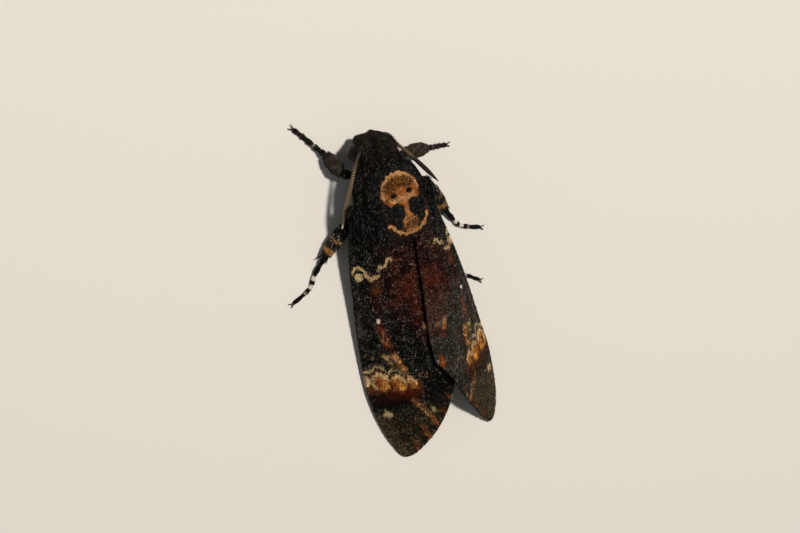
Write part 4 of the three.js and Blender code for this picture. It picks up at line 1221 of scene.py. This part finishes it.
for side, letter in ((1, "L"), (-1, "R")):
    rng = np.random.default_rng(70 + side)
    last_y = TIP_Y[side] - TIP_INSET
    t = np.linspace(0, 1, SHEET_ROWS)
    y_rows = ROOT_Y + (last_y - ROOT_Y) * (1 - (1 - t) ** ROWS_TO_TIP)
    Y, V = np.meshgrid(y_rows, np.linspace(0, 1, SHEET_COLUMNS), indexing="ij")
    width = roof(side, Y, 0 * Y)[1]
    low, high = membrane_limits(side, Y)
    S = low + V * (high - low)
    # Towards both edges the sheet thins to a fine rim.
    edge = np.minimum(V, 1 - V) * (high - low)
    half_film = (UNDER_DEPTH - TOP_DEPTH) / 2 * (1 - fade(0.35, 0.0, edge) * 0.8)
    middle = (UNDER_DEPTH + TOP_DEPTH) / 2
    bumps = vein_relief(Y, S)
    top = roof(side, Y, S / width, middle - half_film - bumps)[0]
    under = roof(side, Y, S / width, middle + half_film - bumps * 0.6)[0]
    forewing = closed_sheet(
        f"forewing_membrane_{letter}", top, under,
        forewing_colours(side, Y.ravel(), S.ravel()), under_colours(Y.ravel(), S.ravel()),
    )
    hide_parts(f"forewing_{letter}")

    # Scales in staggered rows over the upper side.
    places_y, places_s = [], []
    for i, at in enumerate(np.arange(ROOT_Y + 0.2, last_y - 0.05, SCALE_STEP_Y)):
        low, high = (float(limit[0]) for limit in membrane_limits(side, np.array([at])))
        across_row = np.arange(low + 0.05 + (i % 2) * SCALE_STEP_S / 2, high - 0.03, SCALE_STEP_S)
        places_y.append(np.full(len(across_row), at))
        places_s.append(across_row)
    y, s = np.concatenate(places_y), np.concatenate(places_s)
    y = y + rng.normal(0, SCALE_STRAY, len(y))
    s = np.maximum(s + rng.normal(0, SCALE_STRAY, len(s)), 0.02)
    root = wing_point(side, y, s, vein_relief(y, s))
    # Scales inside the thorax are left out.
    x, y0, z = root.T
    inside = (np.abs(x) < trunk_half_width(y0) - INSIDE_SIDE) & (z < trunk_top(y0) - INSIDE_TOP)
    keep = ~(inside & (y0 < INSIDE_TO_Y))
    y, s, root = y[keep], s[keep], root[keep]
    down = unit(wing_point(side, y + 0.1, s, vein_relief(y + 0.1, s)) - root)
    inwards = unit(wing_point(side, y, s + 0.08, vein_relief(y, s + 0.08)) - root)
    out = unit(np.cross(down, inwards)) * side
    fan = np.radians(np.interp(s, [0, 5, 18], [-6, 0, 16]) + rng.normal(0, 8, len(s)))
    along = unit(down * np.cos(fan)[:, None] + inwards * np.sin(fan)[:, None])
    across = unit(np.cross(along, out))
    roll = rng.normal(0, SCALE_ROLL, (len(s), 1))
    out = unit(np.cross(across, along) * np.cos(roll) + across * np.sin(roll))

    # Dark scales get sooty and frosted ones among them, pale ones a few brown ones.
    on = Markings(s, y, forewing_colours(side, y + 0.25, s))
    bright = on.colour.mean(1)
    dark, pale = fade(0.06, 0.015, bright), fade(0.06, 0.15, bright)
    rusty, olive, chestnut = zones(y, s)
    on.wash((rng.random(len(y)) < 0.4) * rusty * dark * 0.75, SOOT)
    patchy = (0.7 + 0.4 * np.clip(ripple(s, y, 2.6, 73), -1, 1)) * (1 - chestnut)
    if side < 0:
        # Painted light: more pale frosted scales on the right wing's outer part, as on the side that faces
        # the light.
        patchy = patchy * (1 + 0.8 * fade(15, 20, y))
    else:
        # Painted shade: fewer frosted scales on the left wing towards its inner margin beyond the band,
        # widening the painted shadow of the right wing.
        patchy = patchy * (1 - 0.6 * fade(10.5, 12.5, s) * fade(32, 35, y))
    frost = (rng.random(len(y)) < 0.34 * patchy) * dark * rng.uniform(0.1, 0.6, len(y))
    on.wash(frost * (1 - rusty) * (1 - olive), "#75736a")
    on.wash(frost * rusty * 0.8, "#a86f5c")
    on.wash(frost * olive * (1 - rusty), "#84764f")
    # Painted highlights: a few dark scales are painted pale as glints.
    glint = (rng.random(len(y)) < 0.018 * patchy) * dark
    on.wash(glint * rng.uniform(0.5, 1.0, len(y)), "#928c84")
    on.colour *= np.exp(rng.normal(0, SCALE_UNLIKE, (len(y), 1)) * (1 - 0.5 * pale[:, None]))
    on.wash((rng.random(len(y)) < 0.12) * pale * 0.65, "#5a3216")
    size = rng.uniform(0.85, 1.15, len(y))
    lift = rng.uniform(0.05, 0.34, len(y))
    shapes = kites(root, along, out, SCALE_LENGTH * size, SCALE_WIDTH * size, lift)
    colours = np.repeat(on.colour[:, None], len(KITE_PAINTED_SHADING), 1) * KITE_PAINTED_SHADING[None, :, None]
    joined(
        f"forewing_scales_{letter}", shapes, KITE_FACES, colours, wing_map(y, s), KITE_PATCH, powder,
    )

    # Fringe of fine hair-scales round the outer edge, dark with pale checks at the vein ends.
    edge_y = np.concatenate((
        np.linspace(FRINGE_FROM[side], CORNER_Y, ON_SIDE), np.linspace(CORNER_Y, last_y, ON_CORNER),
        np.full(ON_TIP, last_y), np.linspace(last_y, CORNER_Y, ON_BACK),
    ))
    across_tip = np.concatenate((
        np.ones(ON_SIDE + ON_CORNER), np.linspace(1, 0, ON_TIP), np.zeros(ON_BACK),
    ))
    low, high = membrane_limits(side, edge_y)
    edge_s = np.maximum(low + across_tip * (high - low), 0.02)
    root = wing_point(side, edge_y, edge_s)
    down = wing_point(side, edge_y + 0.05, edge_s) - root
    inwards = wing_point(side, edge_y, edge_s + 0.05) - root
    normal = unit(np.cross(down, inwards)) * side
    outwards = unit(np.cross(normal, np.gradient(root, axis=0)))
    outwards *= np.sign(outwards[0] @ [-side, 0.5, 0])
    along = unit(outwards + rng.normal(0, 0.16, root.shape) * [1, 1, 0.3])
    check = np.zeros(len(root))
    for vein in VEINS:
        vein_s, vein_y = vein[-1]
        from_vein = np.hypot(edge_s - vein_s, (edge_y - vein_y) * 0.6)
        check = np.maximum(check, 1 - fade(0.3, 0.65, from_vein))
    colour = paint(plain("#140e0b", len(root)), check * 0.95, "#dcc09a")
    length = np.interp(across_tip + (edge_y < 49), [0, 1, 2], [0.2, 0.32, 0.5])
    length = length * rng.uniform(0.85, 1.15, len(root))
    shapes = blades(root - along * 0.08, along, normal, length, 0.11, 0.02, 0.02)
    colours = np.repeat(colour[:, None], 7, 1) * rng.uniform(0.75, 1.3, (len(root), 1, 1))
    joined(
        f"forewing_fringe_{letter}", shapes, BLADE_FACES, colours, wing_map(edge_y, edge_s), BLADE_PATCH,
        hair,
    )

# ---------------------------------------------------------------- hindwings
# Short yellow wings with two black bands, folded flat under the forewings. They are the same
# scaled film, and only their edges can be seen from below.

HIND_FROM, HIND_TO, HIND_INNER, HIND_OUTER = 2.5, 31.5, 0.72, 0.13
HIND_ROWS, HIND_COLUMNS, WIDEST_AT, ROOT_WIDE = 120, 50, 0.45, 0.62
HIND_TOP, HIND_UNDER, PLEATS, PLEAT_HEIGHT = 1.38, 1.6, 6, 0.06     # depths under the forewing

for side, letter in ((1, "L"), (-1, "R")):
    T, V = np.meshgrid(np.linspace(0, 1, HIND_ROWS), np.linspace(0, 1, HIND_COLUMNS), indexing="ij")
    y = HIND_FROM + (HIND_TO - HIND_FROM) * T
    round_end = np.sqrt(np.maximum(1 - ((T - WIDEST_AT) / 0.56) ** 2, 0.0004))
    share = np.where(T < WIDEST_AT, ROOT_WIDE + (1 - ROOT_WIDE) * T / WIDEST_AT, round_end)
    v = (HIND_INNER + HIND_OUTER) / 2 + (HIND_INNER - HIND_OUTER) * share * (V - 0.5)
    # The folded wing is pleated along its length.
    pleat = PLEAT_HEIGHT * np.cos(V * 2 * np.pi * PLEATS)
    top, under = roof(side, y, v, HIND_TOP + pleat)[0], roof(side, y, v, HIND_UNDER + pleat)[0]
    flat_y, flat_v = y.ravel(), V.ravel()
    on = Markings(flat_v, flat_y, plain("#b5801f", len(flat_y)))
    for at, half in ((17.0, 1.3), (24.5, 1.0)):
        bent = flat_y - at - 1.5 * (flat_v - 0.5) + 0.3 * ripple(flat_v * 8, flat_y, 3, 81)
        on.wash(1 - fade(half - 0.3, half + 0.3, np.abs(bent)), "#17110d")
    for k in range(PLEATS):
        line = 1 - fade(0.012, 0.03, np.abs(flat_v - (k + 0.5) / PLEATS))
        on.wash(line * fade(22, 28, flat_y) * 0.8, "#20160e")
    hindwing = closed_sheet(f"hindwing_membrane_{letter}", top, under, on.colour, on.colour)
    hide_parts(f"hindwing_{letter}")

# ---------------------------------------------------------------- legs
# Each leg is jointed chitin under close scales: coxa, hairy femur, thick tibia with spurs, and a
# tarsus of five short joints with pale rings, ending in two hooked claws.

# Each leg: coxa from body to trochanter, knee, ankle, and the tarsus beyond the ankle.
LEGS = {
    "foreleg_L": (
        [(3.0, -7.8, 3.6), (4.1, -8.8, 2.1)], (6.4, -10.4, 3.1), (7.8, -14.3, 1.75),
        [(9.4, -16.9, 0.7), (11.1, -19.6, 0.42), (12.5, -21.6, 0.3)],
    ),
    "foreleg_R": (
        [(-3.0, -7.8, 3.6), (-4.1, -8.8, 2.1)], (-8.0, -9.4, 2.9), (-11.8, -8.5, 2.1),
        [(-13.9, -7.8, 1.0), (-15.7, -7.3, 0.45), (-17.0, -7.0, 0.3)],
    ),
    "middleleg_L": (
        [(3.6, -2.0, 3.7), (5.4, -2.0, 2.2)], (8.2, -0.3, 3.0), (13.5, 4.2, 2.0),
        [(17.0, 8.0, 0.8), (18.3, 10.0, 0.5), (20.8, 11.2, 0.36), (22.6, 11.8, 0.3)],
    ),
    "middleleg_R": (
        [(-3.6, -2.0, 3.7), (-5.4, -2.0, 2.2)], (-9.7, -2.3, 3.3), (-12.2, 4.0, 2.1),
        [(-13.9, 7.7, 0.8), (-14.9, 9.5, 0.5), (-17.2, 10.9, 0.36), (-19.2, 11.8, 0.3)],
    ),
    "hindleg_L": (
        [(3.3, 4.0, 3.6), (4.9, 4.9, 2.2)], (8.3, 9.4, 2.6), (9.6, 16.2, 1.5),
        [(10.4, 19.6, 0.6), (11.0, 22.0, 0.4), (11.6, 24.4, 0.3)],
    ),
    "hindleg_R": (
        [(-3.3, 4.0, 3.6), (-4.9, 4.9, 2.2)], (-8.3, 9.2, 2.6), (-10.2, 15.6, 1.5),
        [(-12.1, 18.8, 0.7), (-14.2, 20.6, 0.42), (-16.0, 22.1, 0.3)],
    ),
}
# Radii of coxa, femur, tibia and tarsus out to the tips of the scales.
LEG_RADII = {
    "fore": (1.15, 0.95, 1.5, 0.68),
    "middle": (1.2, 1.05, 1.45, 0.62),
    "hind": (1.15, 0.95, 0.95, 0.5),
}
TARSUS_JOINTS, TARSUS_SHRINK, TARSUS_END = (0.0, 0.42, 0.6, 0.74, 0.86, 1.0), 0.22, 0.34
JOINT_SHAPE = (0.82, 0.92, 1.02)                  # each short joint widens towards its end
LEG_COAT, TARSUS_COAT, LEG_GRAIN, LEG_SMOOTHING = 0.2, 0.08, 0.11, 2
SPURS_AT = {"fore": (), "middle": (1.0,), "hind": (0.6, 1.0)}
SPUR_LENGTH, SPUR_SPREAD, SPUR_DROP, SPUR_RADII = 1.7, 0.5, 0.35, (0.2, 0.16, 0.09)
# A claw's places forwards, sideways and up from the last joint, and its radii.
CLAW = ((-0.15, 0.05, 0.34), (0.25, 0.2, 0.52), (0.62, 0.38, 0.46), (0.9, 0.5, 0.1))
CLAW_RADII = (0.13, 0.12, 0.09, 0.035)
# Where the tarsus has white rings, how wide, and how bright.
WHITE_RINGS = {
    "fore": ((0.4, 0.02, 0.25),),
    "middle": ((0.46, 0.03, 1.0), (0.61, 0.035, 0.95), (0.75, 0.015, 0.3)),
    "hind": ((0.42, 0.03, 0.9), (0.62, 0.02, 0.5)),
}
# The scales of each pair: how many per square millimetre of tibia, how shaggy, untidy and frosted.
TIBIA_DENSITY = {"fore": 34.0, "middle": 20.0, "hind": 20.0}
SHAGGY = {"fore": 0.85, "middle": 1.0, "hind": 0.8}
UNTIDY = {"fore": 0.3, "middle": 0.13, "hind": 0.13}
FROSTED = {"fore": 0.3, "middle": 0.2, "hind": 0.2}
SOLE_Z = 0.25                     # the sole is bare below this


def leg_place(points, bones):
    """For each point: which bone it is nearest to, how far along it, and that bone's direction."""
    best, which, along = np.full(len(points), 1e9), np.zeros(len(points), int), np.zeros(len(points))
    way = np.zeros((len(points), 3))
    for index, path in bones:
        path = np.asarray(path, float)
        lengths = np.linalg.norm(np.diff(path, axis=0), axis=1)
        before = np.concatenate(([0.0], np.cumsum(lengths)))
        for i, (start, end) in enumerate(zip(path[:-1], path[1:])):
            step = end - start
            t = np.clip((points - start) @ step / (step @ step), 0, 1)
            far = np.linalg.norm(points - start - t[:, None] * step, axis=1)
            nearer = far < best
            best = np.where(nearer, far, best)
            which = np.where(nearer, index, which)
            along = np.where(nearer, (before[i] + t * lengths[i]) / before[-1], along)
            way[nearer] = step / np.linalg.norm(step)
    return which, along, way


def leg_colours(pair, which, along, points):
    """Scale colours along a leg: dark brown, tan bands on the tibia and white rings on the tarsus."""
    x, y, z = points.T
    cloud = fade(-0.8, 1.2, ripple(x * 1.5, y, 1.3, 91))
    on = Markings(x, y, plain("#0d0a08", len(points)))
    tibia, tarsus = which == 2, which == 3
    if pair == "fore":
        on.wash(tibia * (0.3 + 0.7 * cloud) * 0.8, "#51463a")
        on.wash((which == 1) * cloud * 0.6, "#352d25")
        on.wash(tarsus * cloud * 0.6, "#332b24")
    else:
        on.wash(tibia * cloud * 0.6, "#37302e")
        fleck = fade(0.2, 0.8, ripple(x, y + z, 0.9, 92))
        for at, wide, strength in ((0.58, 0.035, 0.3), (0.91, 0.055, 1.1)):
            band = 1 - fade(wide, wide + 0.04, np.abs(along - at))
            on.wash(tibia * band * np.maximum(fleck, strength - 0.3), "#bd8346")
        on.wash(tibia * fade(1.2, 1.7, ripple(x, y, 0.8, 93)) * 0.8, "#b9b0a4")
    for at, wide, strength in WHITE_RINGS[pair]:
        ring = (1 - fade(wide, wide + 0.015, np.abs(along - at))) * strength
        on.wash(tarsus * ring, "#d9d2c4")
    return on.colour


for name, (coxa, knee, ankle, toes) in LEGS.items():
    pair = name.split("leg")[0]
    coxa_r, femur_r, tibia_r, tarsus_r = LEG_RADII[pair]
    hip, knee, ankle = coxa[1], np.array(knee), np.array(ankle)
    tarsus_radii = []
    for start in TARSUS_JOINTS[:-1]:
        tarsus_radii += [tarsus_r * (1 - TARSUS_SHRINK * start) * f for f in JOINT_SHAPE]
    parts = []
    for bone, path, radii in (
        ("coxa", coxa, [coxa_r, coxa_r * 0.8]),
        ("femur", [hip, knee], [femur_r * 0.8, femur_r, femur_r * 0.75]),
        ("tibia", [knee, ankle], [tibia_r * 0.65, tibia_r, tibia_r, tibia_r * 0.75]),
    ):
        parts.append(new_mesh(bone, *tube(path, radii, grow=-LEG_COAT)))
    tarsus = tube([ankle, *toes], [*tarsus_radii, TARSUS_END], spacing=0.12, grow=-TARSUS_COAT)
    parts.append(new_mesh("tarsus", *tarsus))
    # Tibial spurs: one pair at the end of a middle tibia, two pairs on a hind one.
    forward = unit(ankle - knee)
    beside = unit(np.cross(forward, [0.0, 0.0, 1.0]))
    for at in SPURS_AT[pair]:
        for lean in (-1, 1):
            start = knee + (ankle - knee) * at + beside * lean * tibia_r * 0.35
            tip = start + forward * SPUR_LENGTH + beside * lean * SPUR_SPREAD - np.array([0, 0, SPUR_DROP])
            tip[2] = max(tip[2], 0.15)
            parts.append(new_mesh("spur", *tube([start, (start + tip) / 2, tip], SPUR_RADII)))
    leg = one_skin(f"{name}_skin", parts, LEG_GRAIN, LEG_SMOOTHING)
    bones = ((0, coxa), (1, (hip, knee)), (2, (knee, ankle)), (3, [ankle, *toes]))
    points = points_of(leg)
    which, along, _ = leg_place(points, bones)
    set_colours(leg, leg_colours(pair, which, along, points))
    leg.data.materials.append(pile)
    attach(leg, "root")
    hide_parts(*(f"{name}_{bone}" for bone in ("coxa", "femur", "tibia", "tarsus")))

    # Scales lie along each bone, shaggiest on the tibia.
    rng = np.random.default_rng(100 + sorted(LEGS).index(name))
    centre, normal, area = faces_of(leg)
    which, along, _ = leg_place(centre, bones)
    density = np.choose(which, (10.0, 16.0, TIBIA_DENSITY[pair], 26.0)) * (centre[:, 2] >= SOLE_Z)
    root, out = scatter(centre, normal, area, density, rng)
    which, along, way = leg_place(root, bones)
    lie = way + rng.normal(0, UNTIDY[pair], way.shape)
    lie = unit(lie - (lie * out).sum(1, keepdims=True) * out)
    length = np.choose(which, (0.7, 0.8, 0.8 * SHAGGY[pair], 0.38)) * rng.uniform(0.7, 1.25, len(root))
    width = np.choose(which, (0.13, 0.13, 0.14, 0.085))
    lift = np.choose(which, (0.3, 0.35, 0.4 * SHAGGY[pair], 0.2)) * rng.uniform(0.4, 1.3, len(root))
    shapes = blades(root, lie, out, length, width, lift, lift * 0.4)
    flat = shapes.reshape(-1, 3)
    on_bone, on_along, _ = leg_place(flat, bones)
    colours = coloured_tufts(shapes, leg_colours(pair, on_bone, on_along, flat), rng, 0.3)
    colours = frosted(colours, rng, FROSTED[pair], "#847b70", 0.6)
    places = np.stack(((np.arctan2(out[:, 0], out[:, 2]) / (2 * np.pi)) + 0.5, (which + along) / 4), 1)
    joined(f"{name}_scales", shapes, BLADE_FACES, colours, places, BLADE_PATCH, hair)

    # Claws: two hooks of bare dark horn on the last joint.
    tip, before = np.array(toes[-1]), np.array(toes[-2])
    forward = unit((tip - before) * [1, 1, 0])
    beside = np.array([-forward[1], forward[0], 0.0])
    hooks = []
    for lean in (-1, 1):
        hook = [tip + forward * a + beside * b * lean + [0, 0, c - tip[2]] for a, b, c in CLAW]
        hooks.append(new_mesh("hook", *tube(hook, CLAW_RADII, sides=10, spacing=0.07)))
    claws = joined_as(f"{name}_claws", hooks)
    face_outwards(claws)
    claws.data.materials.append(horn)
    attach(claws, "root")
